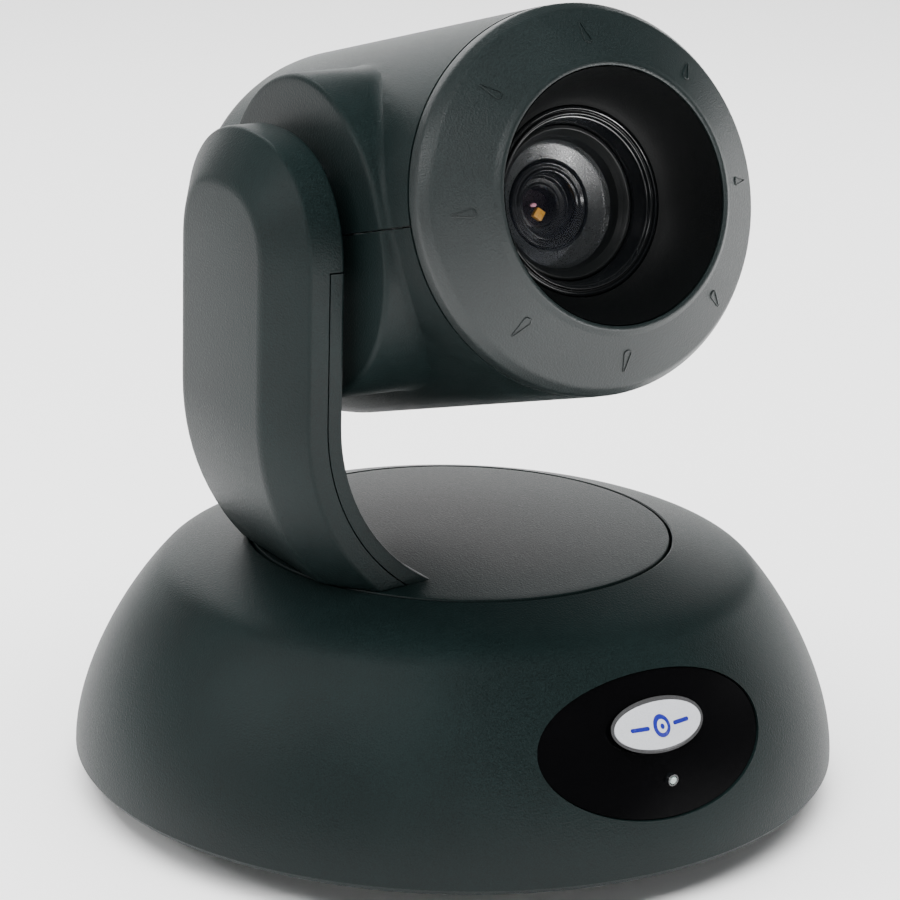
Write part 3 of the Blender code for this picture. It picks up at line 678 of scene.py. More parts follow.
@dataclass
class Base:
    """Domed base with its window, badge, underside and rear connectors."""

    waist_radius: float = 101.6
    waist_z: float = 9.6
    side_rise: float = 14.3
    shoulder_radius: float = 80.0
    shoulder_z: float = 57.5
    rim_radius: float = 56.5
    rim_z: float = 66.9
    wall: float = 3.0
    window_half: Point = (33.2, 15.9)
    window_z: float = 38.2
    badge_half: Point = (13.9, 5.9)
    badge_z: float = 43.0
    light_z: float = 30.7
    panel_y: float = 82.5
    recess: tuple[Point, Point] = ((-42.0, 14.0), (42.0, 43.0))
    side: list[Point] = field(default_factory=list)

    def build(self) -> None:
        """Make every visible piece of the base."""
        self.side = self._dome_side()
        self._shell()
        self._window()
        self._badge()
        self._status_light()
        self._underside()
        self._connectors()

    def _dome_side(self) -> list[Point]:
        """Outer side from the waist to the rim round the disc."""
        radius, height = self.shoulder_radius, self.shoulder_z
        side = bezier(
            (self.waist_radius, self.waist_z), (self.waist_radius, self.waist_z + self.side_rise),
            (radius + 12.0, height - 13.5), (radius, height), 26)
        shoulder = bezier(
            (radius, height), (radius - 3.5, height + 3.9), (radius - 8.0, height + 5.0),
            (self.rim_radius, self.rim_z), 14)
        return side + shoulder[1:]

    def _radius_at(self, height: float) -> float:
        """Radius of the dome's side at a height."""
        for (r0, z0), (r1, z1) in zip(self.side, self.side[1:]):
            if z0 <= height <= z1:
                return r0 + (r1 - r0) * (height - z0) / (z1 - z0)
        return self.side[0][0] if height < self.side[0][1] else self.side[-1][0]

    def _shell(self) -> None:
        """Turned shell with its window opening and rear recess cut through."""
        inner_radius = self.waist_radius - self.wall
        under = soften([
            (83.0, 2.0), (86.0, 2.1, 2.0), (94.9, 5.7, 6.0), (100.7, 8.3, 0.9), self.side[0]], 5,
            closed=False)[:-1]
        rim = [
            (self.rim_radius + 0.5, self.rim_z - 0.15), (self.rim_radius + 0.15, self.rim_z - 0.35),
            (self.rim_radius, self.rim_z - 0.9), (self.rim_radius, self.rim_z - self.wall)]
        inner = [
            (74.0, 58.4), (78.0, 55.2), (86.0, 45.5), (94.0, 29.0), (inner_radius, 10.5), (91.5, 7.0),
            (70.0, 7.0), (70.0, 4.6), (80.2, 4.6), (80.2, 2.0)]
        shell = lathe(under + self.side[:-1] + rim + inner, 180)
        window = ellipse((0.0, self.window_z), self.window_half[0] + 0.3, self.window_half[1] + 0.3, 120)
        low, high = self.recess
        shell = combine(
            shell, Cut.AWAY, prism(window, 60.0, 130.0, LENS_AXIS),
            prism(rectangle(low, high, 5.0), -130.0, -60.0, LENS_AXIS), *self._plate_screw_holes())
        Piece("dome_shell", SHELL, Body.BASE, Slot.SHELL, ("base_shell",)).make(shell, BASE_FRAME)

    def _plate_screw_holes(self) -> list[bmesh.types.BMesh]:
        """Cutters for the four screws that hold the plate."""
        cutters = []
        for x, y in self._screw_places():
            cutters.append(placed(prism(ellipse((x, y), 1.8, 1.8, 24), 0.0, 12.0)))
        return cutters

    def _screw_places(self) -> list[Point]:
        """Places of the four plate screws."""
        return [arc((0.0, 0.0), 74.5, angle, angle, 1)[0] for angle in (45, 135, 225, 315)]

    def _oval_patch(self, half: Point, height: float, rise: Callable[[float], float],
                    back: float, rings: int, steps: int) -> bmesh.types.BMesh:
        """Oval plate that follows the front of the dome.

        Args:
            half: Half width and half height of the oval.
            height: Height of its centre.
            rise: How far it stands off the dome at 0 (centre) to 1 (edge).
            back: How far its back lies behind the dome's side.
            rings: Rings between centre and edge.
            steps: Points round the edge.

        Returns:
            The plate as a closed solid.
        """
        bm = bmesh.new()
        bmesh.ops.create_circle(bm, cap_ends=True, segments=steps, radius=1.0)
        middle = list(bm.faces)
        for _ in range(rings - 1):
            bmesh.ops.inset_region(bm, faces=middle, thickness=1.0 / rings, use_even_offset=False)
        bmesh.ops.poke(bm, faces=middle)
        front = list(bm.faces)
        grown = bmesh.ops.extrude_face_region(bm, geom=front)["geom"]
        rear = {item for item in grown if isinstance(item, bmesh.types.BMVert)}
        for vert in bm.verts:
            reach = min(math.hypot(vert.co.x, vert.co.y), 1.0)
            x, z = half[0] * vert.co.x, height + half[1] * vert.co.y
            off = -back if vert in rear else rise(reach)
            radius = self._radius_at(z) + off
            vert.co = Vector((x, -math.sqrt(radius ** 2 - x ** 2), z))
        return bm

    def _window(self) -> None:
        """Glossy oval window with a softly turned edge."""
        def rise(reach: float) -> float:
            return 0.15 - 0.75 * max(0.0, (reach - 0.975) / 0.025) ** 2

        plate = self._oval_patch(self.window_half, self.window_z, rise, 2.4, 34, 144)
        Piece("infrared_window", WINDOW_BLACK, Body.BASE, Slot.WINDOW, ("front_window",)).make(
            plate, BASE_FRAME)

    def _badge(self) -> None:
        """Domed oval badge with a polished rim and a plain mark of a ring and two bars."""
        def dome(reach: float) -> float:
            return 0.25 + 1.0 * math.sqrt(max(0.0, 1.0 - reach ** 2.6))

        def rim(reach: float) -> float:
            return 0.05 + 0.75 * max(0.0, 1.0 - reach ** 8) ** 0.5

        back = self._oval_patch(self.badge_half, self.badge_z, rim, -0.1, 18, 96)
        Piece("badge_rim", BADGE_RIM, Body.BASE, Slot.BADGE).make(back, BASE_FRAME)
        face = (self.badge_half[0] - 0.9, self.badge_half[1] - 0.9)
        plate = self._oval_patch(face, self.badge_z, dome, -0.1, 18, 96)
        Piece("badge_plate", BADGE_SILVER, Body.BASE, Slot.BADGE, ("badge",)).make(plate, BASE_FRAME)
        plate = self._oval_patch(face, self.badge_z, lambda reach: dome(reach) + 0.06, -0.2, 18, 96)
        ring = combine(
            self._stamp(ellipse((0.0, self.badge_z), 2.5, 2.5, 40)), Cut.AWAY,
            self._stamp(ellipse((0.0, self.badge_z), 1.5, 1.5, 32)))
        marks = [ring, self._stamp(ellipse((0.0, self.badge_z), 0.6, 0.6, 24))]
        for side in (-1.0, 1.0):
            middle = 6.2 * side
            marks.append(self._stamp(rectangle(
                (middle - 2.6, self.badge_z - 0.45), (middle + 2.6, self.badge_z + 0.45), 0.44, 4)))
        mark = combine(plate, Cut.COMMON, together(*marks))
        Piece("badge_mark", BADGE_INK, Body.BASE, Slot.BADGE).make(mark, BASE_FRAME)

    def _stamp(self, outline: Sequence[Point]) -> bmesh.types.BMesh:
        """Outline pushed forward through the front of the base."""
        return prism(outline, 60.0, 130.0, LENS_AXIS)

    def _status_light(self) -> None:
        """Clear light pipe with a rounded face."""
        tip = self._radius_at(self.light_z)
        spot = Matrix.Translation((0.0, 0.0, self.light_z))
        pipe = lathe(
            soften([(0.0, 93.0), (1.05, 93.0), (1.05, tip + 0.5, 0.5), (0.0, tip + 0.6)], 3), 28, LENS_AXIS)
        placed(pipe, spot)
        ring = tube(1.55, 1.1, tip - 1.2, tip + 0.4, 40, LENS_AXIS, 0.15)
        Piece("status_light_ring", GLOSS_RING, Body.BASE, Slot.BLACK).make(placed(ring, spot), BASE_FRAME)
        Piece("status_light_pipe", CLEAR, Body.BASE, Slot.GLASS, ("status_light",)).make(pipe, BASE_FRAME)

    def _underside(self) -> None:
        """Plate, feet, screws and tripod nut."""
        plate = lathe(soften([(79.6, 2.3, 0.4), (79.6, 4.3), (7.3, 4.3), (7.3, 2.3, 0.3)], 3), 128)
        spots = self._screw_places() + [(0.0, 27.0), (0.0, -27.0)]
        plate = combine(plate, Cut.AWAY, *[prism(ellipse(spot, 1.8, 1.8, 24), 0.0, 8.0) for spot in spots])
        Piece("underside_plate", STEEL, Body.BASE, Slot.STEEL, ("base_plate",)).make(plate, BASE_FRAME)
        for number, angle in enumerate((22, 112, 202, 292), 1):
            spot = arc((0.0, 0.0), 60.0, angle, angle, 1)[0]
            pad = lathe(soften([
                (0.0, 0.25), (5.6, 0.25, 0.3), (6.2, 0.0, 0.3), (7.4, 0.0, 0.5), (8.0, 0.9, 0.4), (8.0, 2.0),
                (0.0, 2.0)], 3), 56)
            placed(pad, Matrix.Translation((*spot, 0.0)))
            Piece(f"rubber_foot_{number}", RUBBER, Body.BASE, Slot.RUBBER, (f"foot_{number}",)).make(
                pad, BASE_FRAME)
        for number, spot in enumerate(spots, 1):
            screw = self._screw(spot)
            Piece(f"cross_screw_{number}", STEEL, Body.BASE, Slot.STEEL, (f"plate_screw_{number}",)).make(
                screw, BASE_FRAME)
        thread = [(3.2 + (0.25 if step % 2 else 0.0), 2.2 + 0.32 * step) for step in range(21)]
        nut = lathe([(3.6, 2.0), *thread, (3.4, 9.0), (7.0, 9.0), (7.0, 2.3), (6.7, 2.0)], 64)
        Piece("tripod_insert", BRASS, Body.BASE, Slot.BRASS, ("tripod_nut",)).make(nut, BASE_FRAME)

    def _screw(self, spot: Point) -> bmesh.types.BMesh:
        """Pan-head screw with a cross recess, its head down."""
        head = soften([
            (0.0, 0.8), (1.6, 0.8, 0.6), (3.1, 1.4, 0.4), (3.1, 2.0), (1.5, 2.0), (1.5, 8.6), (0.0, 8.6)], 3)
        screw = lathe(head, 40)
        bars = [prism(rectangle((-1.7, -0.3), (1.7, 0.3)), 0.0, 1.5),
                prism(rectangle((-0.3, -1.7), (0.3, 1.7)), 0.0, 1.5)]
        return placed(combine(screw, Cut.AWAY, *bars), Matrix.Translation((*spot, 0.0)))

    def _connectors(self) -> None:
        """Rear recess with its sockets and their contacts."""
        low, high = self.recess
        tray = prism(rectangle((low[0] + 0.3, low[1] + 0.3), (high[0] - 0.3, high[1] - 0.3), 4.7), -130.0,
                     -81.0, LENS_AXIS)
        inside = [(0.0, self.side[0][1])] + [(r - 0.4, z) for r, z in self.side] + [(0.0, self.rim_z)]
        tray = combine(tray, Cut.COMMON, lathe(inside, 180))
        hollow = prism(
            rectangle((low[0] + 1.5, low[1] + 1.5), (high[0] - 1.5, high[1] - 1.5), 3.5), -130.0,
            -self.panel_y, LENS_AXIS)
        tray = combine(tray, Cut.AWAY, hollow, *self._socket_holes())
        Piece("connector_tray", SHELL, Body.BASE, Slot.SHELL, ("connector_panel",)).make(tray, BASE_FRAME)
        self._square_socket("network", 2.0, (16.0, 13.5), (11.8, 8.4), 8, GOLD)
        self._square_socket("video", 21.0, (16.4, 7.4), (14.2, 5.0), 9, GOLD)
        self._round_socket("power", -31.0, 5.6, 3.3, 1)
        self._round_socket("control", -14.0, 6.6, 5.2, 8)

    def _socket_holes(self) -> list[bmesh.types.BMesh]:
        """Cutters for the sockets in the tray's floor."""
        cutters = []
        for x, width, height in ((2.0, 16.0, 13.5), (21.0, 16.4, 7.4)):
            low = (x - width / 2 - 0.3, 28.0 - height / 2 - 0.3)
            high = (x + width / 2 + 0.3, 28.0 + height / 2 + 0.3)
            cutters.append(prism(rectangle(low, high), -87.0, -75.0, LENS_AXIS))
        for x, radius in ((-31.0, 5.9), (-14.0, 6.9)):
            cutters.append(prism(ellipse((x, 28.0), radius, radius, 48), -87.0, -75.0, LENS_AXIS))
        return cutters

    def _square_socket(self, name: str, x: float, size: Point, mouth: Point, pins: int,
                       pin_finish: object) -> None:
        """Metal socket shell with a tongue that carries contacts.

        Args:
            name: First word of the pieces' names.
            x: Place across the recess.
            size: Outer width and height.
            mouth: Width and height of the opening.
            pins: Number of contacts.
            pin_finish: Finish of the contacts.
        """
        front, back = -83.9, -68.4
        low = (x - size[0] / 2, 28.0 - size[1] / 2)
        high = (x + size[0] / 2, 28.0 + size[1] / 2)
        shell = prism(rectangle(low, high, 0.5, 2), back, front, LENS_AXIS, 0.25)
        opening_low = (x - mouth[0] / 2, 28.0 - mouth[1] / 2)
        opening_high = (x + mouth[0] / 2, 28.0 + mouth[1] / 2)
        shell = combine(shell, Cut.AWAY, prism(
            rectangle(opening_low, opening_high, 0.4, 2), front - 2.0, back - 3.0, LENS_AXIS))
        Piece(f"{name}_socket_shell", BRUSHED, Body.BASE, Slot.STEEL, (f"{name}_socket",)).make(
            shell, BASE_FRAME)
        tongue_z = opening_high[1] - 1.4 if name == "network" else 28.0
        tongue = prism(
            rectangle(
                (opening_low[0] + 1.0, tongue_z - 0.6), (opening_high[0] - 1.0, tongue_z + 0.6), 0.2, 2),
            back - 2.9, front + 2.5, LENS_AXIS)
        Piece(f"{name}_socket_tongue", SOCKET_BLACK, Body.BASE, Slot.BLACK).make(tongue, BASE_FRAME)
        contacts = []
        pitch = (mouth[0] - 3.6) / (pins - 1)
        for number in range(pins):
            left = opening_low[0] + 1.8 + pitch * number
            bar = rectangle((left - 0.2, tongue_z - 0.78), (left + 0.2, tongue_z - 0.55))
            contacts.append(prism(bar, back - 3.2, front + 3.4, LENS_AXIS))
        Piece(f"{name}_socket_contacts", pin_finish, Body.BASE, Slot.BRASS).make(
            together(*contacts), BASE_FRAME)

    def _round_socket(self, name: str, x: float, outer: float, inner: float, pins: int) -> None:
        """Round socket with pins inside."""
        front, back = -83.9, -68.4
        body = soften([
            (0.0, back), (outer, back), (outer, front, 0.4), (inner, front, 0.3), (inner, back - 4.0),
            (0.0, back - 4.0)], 3)
        shift = Matrix.Translation((x, 0.0, 28.0))
        Piece(f"{name}_socket_body", SOCKET_BLACK, Body.BASE, Slot.BLACK, (f"{name}_socket",)).make(
            placed(lathe(body, 56, LENS_AXIS), shift), BASE_FRAME)
        spots = [(0.0, 0.0)] if pins == 1 else arc((0.0, 0.0), inner * 0.55, 20.0, 320.0, pins - 1)
        radius = 1.0 if pins == 1 else 0.45
        rods = [
            prism(ellipse(spot, radius, radius, 20), back - 4.2, front + 2.0, LENS_AXIS, 0.15)
            for spot in spots]
        Piece(f"{name}_socket_pins", STEEL, Body.BASE, Slot.STEEL).make(
            placed(together(*rods), shift), BASE_FRAME)


# Turntable and arm


@dataclass
class Turntable:
    """Domed disc that carries the arm."""

    radius: float = 55.8
    rim_z: float = 66.9
    rise: float = 2.5

    def dome(self) -> list[Point]:
        """Domed top from the centre to just short of the rim."""
        top = []
        for step in range(25):
            radius = (self.radius - 0.6) * step / 24
            top.append((radius, self.rim_z + self.rise * (1.0 - (radius / self.radius) ** 2)))
        return top

    def build(self) -> None:
        """Make the disc."""
        edge = bezier(
            (self.radius - 0.4, self.rim_z + 0.02), (self.radius - 0.1, self.rim_z),
            (self.radius, self.rim_z - 0.2), (self.radius, self.rim_z - 0.7), 4)
        low = [(self.radius, 62.0), (self.radius - 3.0, 62.0), (self.radius - 3.0, 64.2), (0.0, 64.2)]
        disc = lathe(self.dome() + edge + low, 180)
        Piece("turntable_disc", SHELL, Body.ARM, Slot.SHELL, ("turntable",)).make(disc, ARM_FRAME)


@dataclass
class Arm:
    """Bent side arm: an outer shell with a raised panel, and an inner cover."""

    bend_x: float = -5.0
    bend_z: float = 112.0
    inner: float = 50.0
    seam: float = 54.2
    edge: float = 59.3
    panel: float = 66.6
    half_width: float = 34.0
    arch_start: float = 148.0
    arch_top: float = 180.0
    arch_power: float = 2.3
    inset: float = 12.8
    cover_top: float = 150.2
    foot_z: float = 66.2
    tail: float = 92.0
    wall: float = 2.0
    room_corner: float = 12.0
    bevel_room_top: float = 154.0
    panel_room_half: float = 19.0
    panel_room_top: float = 162.0

    def build(self) -> None:
        """Make the arm's two shells."""
        self._outer_shell()
        self._inner_cover()
        self._hub()

    def _flat_outline(self) -> list[Point]:
        """Arm outline laid flat, as (across, along from the start of the bend)."""
        side = []
        for step in range(31):
            angle = math.pi / 2 * step / 30
            across = self.half_width * max(math.cos(angle), 0.0) ** (2.0 / self.arch_power)
            rise = (self.arch_top - self.arch_start) * math.sin(angle) ** (2.0 / self.arch_power)
            side.append((across, self.arch_start - self.bend_z + rise))
        mirrored = [(-x, y) for x, y in reversed(side[:-1])]
        return [(self.half_width, -self.tail)] + side + mirrored + [(-self.half_width, -self.tail)]

    def _bend(self, bm: bmesh.types.BMesh) -> bmesh.types.BMesh:
        """Cut rows into a flat mesh and wrap its lower part round the bend."""
        rows = 26
        for step in range(rows + 1):
            level = -self.tail * step / rows
            bmesh.ops.bisect_plane(
                bm, geom=bm.verts[:] + bm.edges[:] + bm.faces[:], dist=TOUCH, plane_co=(0.0, level, 0.0),
                plane_no=(0.0, 1.0, 0.0))
        for vert in bm.verts:
            across, along, reach = vert.co
            angle = max(-along, 0.0) / self.edge
            x = self.bend_x - reach * math.cos(angle)
            z = self.bend_z - reach * math.sin(angle) + max(along, 0.0)
            vert.co = Vector((x, across, z))
        return tidy(bm)

    def _cut_foot(self, bm: bmesh.types.BMesh) -> bmesh.types.BMesh:
        """Cut the arm level just above the disc's rim and close it."""
        cut = bmesh.ops.bisect_plane(
            bm, geom=bm.verts[:] + bm.edges[:] + bm.faces[:], dist=TOUCH,
            plane_co=(0.0, 0.0, self.foot_z), plane_no=(0.0, 0.0, 1.0), clear_inner=True)
        rim = [item for item in cut["geom_cut"] if isinstance(item, bmesh.types.BMEdge)]
        bmesh.ops.edgenet_fill(bm, edges=rim)
        return bm

    def _outer_shell(self) -> None:
        """Outer shell with its wide bevel and raised panel."""
        bm = bmesh.new()
        base = bm.faces.new([bm.verts.new((x, y, self.inner)) for x, y in self._flat_outline()])
        grown = bmesh.ops.extrude_face_region(bm, geom=[base])["geom"]
        top_verts = [item for item in grown if isinstance(item, bmesh.types.BMVert)]
        top = [item for item in grown if isinstance(item, bmesh.types.BMFace)]
        bmesh.ops.translate(bm, verts=top_verts, vec=(0.0, 0.0, self.edge - self.inner))
        bmesh.ops.recalc_face_normals(bm, faces=bm.faces)
        bmesh.ops.inset_region(
            bm, faces=top, thickness=self.inset, depth=self.panel - self.edge, use_even_offset=True)
        panel_rim = set(top[0].edges)
        round_edges(bm, panel_rim, 1.5, 3)
        outer_rim = [
            one for one in bm.edges if all(abs(v.co.z - self.edge) < TOUCH for v in one.verts)]
        round_edges(bm, outer_rim, 0.8, 3)
        inner_rim = [
            one for one in bm.edges if all(abs(v.co.z - self.inner) < TOUCH for v in one.verts)]
        round_edges(bm, inner_rim, 0.7, 2)
        self._cut_foot(self._bend(bm))
        bm = combine(
            bm, Cut.AWAY, self._cover_space(), *self._hollows(), self._hub_hole(), self._disc_space())
        Piece("arm_outer_housing", SHELL, Body.ARM, Slot.SHELL, ("arm_outer_shell",), 22.0).make(
            bm, ARM_FRAME)

    def _strip(self, low: float, high: float, top: float, half_width: float) -> bmesh.types.BMesh:
        """Flat strip between two reaches, ready for the bend."""
        outline = rectangle((-half_width, -self.tail), (half_width, top - self.bend_z))
        return prism(outline, low, high)

    def _hollows(self) -> list[bmesh.types.BMesh]:
        """Room for the frame, the gears and the motor: one under the bevel, one under the panel."""
        rooms = (
            (self.half_width - self.wall, self.bevel_room_top, self.seam - 2.0, self.edge - 1.2),
            (self.panel_room_half, self.panel_room_top, self.edge - 2.0, self.panel - self.wall))
        hollows = []
        for half, top, low, high in rooms:
            outline = rectangle((-half, -self.tail), (half, top - self.bend_z), self.room_corner)
            hollows.append(self._bend(prism(outline, low, high)))
        return hollows

    def _cover_space(self) -> bmesh.types.BMesh:
        """Space that the inner cover fills, cut from the outer shell."""
        return self._bend(self._strip(40.0, self.seam, self.cover_top + 0.4, 45.0))

    def _hub_hole(self) -> bmesh.types.BMesh:
        """Hole for the tilt hub."""
        hole = prism(ellipse((0.0, 0.0), 13.5, 13.5, 64), 45.0, 58.0, SIDE_AXIS)
        return placed(hole, Matrix.Translation(TILT_CENTRE))

    def _disc_space(self) -> bmesh.types.BMesh:
        """Space over the domed disc and the rim round it that the foot stands clear of."""
        disc = Turntable()
        top = [(radius, height + 0.25) for radius, height in disc.dome()]
        return lathe(top + [(95.0, disc.rim_z + 0.3), (95.0, 50.0), (0.0, 50.0)], 120)

    def _inner_cover(self) -> None:
        """Inner cover that closes the arm from the disc up to its step."""
        bm = self._strip(self.inner, self.seam - 0.35, self.cover_top, self.half_width)
        rim = [one for one in bm.edges if all(abs(v.co.z - self.inner) < TOUCH for v in one.verts)]
        round_edges(bm, rim, 0.7, 2)
        self._cut_foot(self._bend(bm))
        bm = combine(bm, Cut.AWAY, self._hub_hole(), self._disc_space())
        Piece("arm_inner_housing", SHELL, Body.ARM, Slot.SHELL, ("arm_inner_cover",), 22.0).make(
            bm, ARM_FRAME)

    def _hub(self) -> None:
        """Turned collar between the arm and the head."""
        section = [(13.0, 50.8), (13.0, 57.0, 0.4), (6.3, 57.0), (6.3, 50.8)]
        hub = lathe(soften(section, 3), 72, SIDE_AXIS)
        Piece("tilt_collar", SMOOTH_BLACK, Body.HEAD, Slot.BLACK, ("tilt_hub",)).make(hub, HEAD_FRAME)


# Head


@dataclass
class Head:
    """Barrel head with its side boss, seams, bezel and marks."""

    front_radius: float = 48.1
    back_radius: float = 50.0
    front: float = 53.05
    back: float = -72.0
    back_round: float = 13.0
    wall: float = 2.5
    split_z: float = -2.0
    seam_gap: float = 0.45
    boss_face: float = 50.5
    boss_arch: tuple[Point, ...] = ((0.0, 40.0), (24.0, 40.0), (43.5, 20.0), (43.5, -7.0))
    boss_foot: tuple[Point, ...] = ((43.5, -7.0), (43.5, -24.0), (31.0, -41.0), (0.0, -42.0))
    fillet: float = 2.6

    def build(self) -> None:
        """Make the head's shells, bezel and marks."""
        self._shells()
        self._bezel()
        self._marks()

    def _barrel(self, inset: float, front: float) -> bmesh.types.BMesh:
        """Barrel solid, moved inward by the inset."""
        back, corner = self.back + inset, self.back_round - inset
        turn = arc((self.back_radius - self.back_round, back + corner), corner, 0.0, -90.0, 12)
        start = self.back + self.back_round
        straight = []
        for step in range(9):
            depth = front + (start - front) * step / 9
            straight.append((self._radius_at(depth) - inset, depth))
        return lathe([(0.0, front)] + straight + turn + [(0.0, back)], 144, LENS_AXIS)

    def _radius_at(self, depth: float) -> float:
        """Radius of the barrel, which narrows a little towards its front."""
        start = self.back + self.back_round
        share = min((depth - start) / (self.front - start), 1.0)
        return self.back_radius + (self.front_radius - self.back_radius) * share

    def _boss_side(self) -> list[tuple[Vector, Vector]]:
        """Side outline of the boss: points (y, z) with their outward directions."""
        half = bezier(*self.boss_arch, 48) + bezier(*self.boss_foot, 48)[1:]
        back = [(-y, z) for y, z in reversed(half[1:-1])]
        points = [Vector(point) for point in half + back]
        pairs = []
        for index, point in enumerate(points):
            along = points[(index + 1) % len(points)] - points[index - 1]
            pairs.append((point, Vector((-along.y, along.x)).normalized()))
        return pairs

    def _barrel_x(self, point: Vector) -> float:
        """Distance of the barrel's side from its axis plane at a point (y, z)."""
        return math.sqrt(max(self._radius_at(-point.x) ** 2 - point.y ** 2, 0.0))

    def _boss(self) -> bmesh.types.BMesh:
        """Boss with a rounded face edge and a small fillet onto the barrel."""
        rails = []
        for point, outward in self._boss_side():
            wall = self.boss_face - self._barrel_x(point)
            edge = 0.8 + 0.5 * min(wall / 8.0, 1.0)
            edge = min(edge, wall * 0.6)
            inner, outer = -1.6, self.fillet
            rail = [(inner - 1.4, self.boss_face)]
            rail += bezier(
                (inner, self.boss_face), (inner * 0.4, self.boss_face), (-0.15, self.boss_face - edge * 0.4),
                (0.1, self.boss_face - edge), 5)
            foot = self._barrel_x(point + outward * outer)
            start = self._barrel_x(point) + min(outer, (wall - edge) * 0.7)
            rail += bezier(
                (0.35, start), (0.5, start - (start - foot) * 0.55), (outer * 0.45, foot + 0.25),
                (outer, foot - 0.04), 6)
            rail.append((outer + 0.3, self._barrel_x(point + outward * (outer + 0.3)) - 1.2))
            rails.append([Vector((-x, *(point + outward * off))) for off, x in rail])
        rings = [list(ring) for ring in zip(*rails)]
        deep = [Vector((-18.0, point.y * 0.9, point.z * 0.9)) for point in rings[0]]
        return loft(rings + [deep])

    def _shells(self) -> None:
        """Upper and lower shells with a seam between them."""
        whole = combine(self._barrel(0.0, self.front), Cut.JOIN, self._boss())
        whole = combine(whole, Cut.AWAY, self._barrel(self.wall, 90.0))
        half_gap = self.seam_gap / 2
        halves = (
            ("head_upper_housing", "head_upper_shell", self.split_z + half_gap, 90.0),
            ("head_lower_housing", "head_lower_shell", -90.0, self.split_z - half_gap))
        for name, node, low, high in halves:
            space = prism(rectangle((-90.0, -90.0), (90.0, 90.0)), low, high)
            half = combine(whole.copy(), Cut.COMMON, space)
            Piece(name, SHELL, Body.HEAD, Slot.SHELL, (node,), 28.0).make(half, HEAD_FRAME)
        whole.free()

    def _bezel(self) -> None:
        """Conical bezel with a soft outer edge and a rounded lip."""
        outer = soften([
            (45.4, 53.5), (48.0, 53.5, 0.3), (47.95, 57.2, 3.2), (46.0, 60.35, 3.4), (33.7, 68.4, 2.2),
            (32.2, 69.9, 1.0), (31.3, 69.5, 0.3), (31.3, 66.9), (43.6, 56.1), (43.6, 48.9), (45.4, 48.9)], 5)
        Piece("cone_bezel", BEZEL_PAINTED_LIGHTER, Body.HEAD, Slot.SHELL, ("front_bezel",), 35.0).make(
            lathe(outer, 180, LENS_AXIS), HEAD_FRAME)

    def _mark(self) -> bmesh.types.BMesh:
        """Raised outline of a drop that lies flat, its round end towards -X."""
        def drop(grow: float) -> list[Point]:
            wide = arc((-1.9, 0.0), 1.15 + grow, 100.0, 260.0, 10)
            narrow = arc((3.0, 0.0), 0.32 + grow, -80.0, 80.0, 6)
            return wide + narrow

        rim = prism(drop(0.0), -0.8, 0.32, edge=0.16)
        return combine(rim, Cut.AWAY, prism(drop(-0.27), 0.06, 1.0))

    def _marks(self) -> None:
        """Small raised drops on the bezel, one each eighth of a turn."""
        outer, inner = Vector((46.2, 60.2)), Vector((33.7, 68.4))
        slope = math.atan2(inner.y - outer.y, outer.x - inner.x)
        spot = inner.lerp(outer, (39.7 - inner.x) / (outer.x - inner.x))
        for number in range(8):
            bm = placed(
                self._mark(), Matrix.Rotation(slope, 4, "Y"), Matrix.Translation((spot.x, 0.0, spot.y)),
                Matrix.Rotation(math.radians(45.0 * number + 1.0), 4, "Z"), LENS_AXIS)
            Piece(f"bezel_mark_{number + 1}", BEZEL_PAINTED_LIGHTER, Body.HEAD, Slot.SHELL).make(bm, HEAD_FRAME)


# Lens


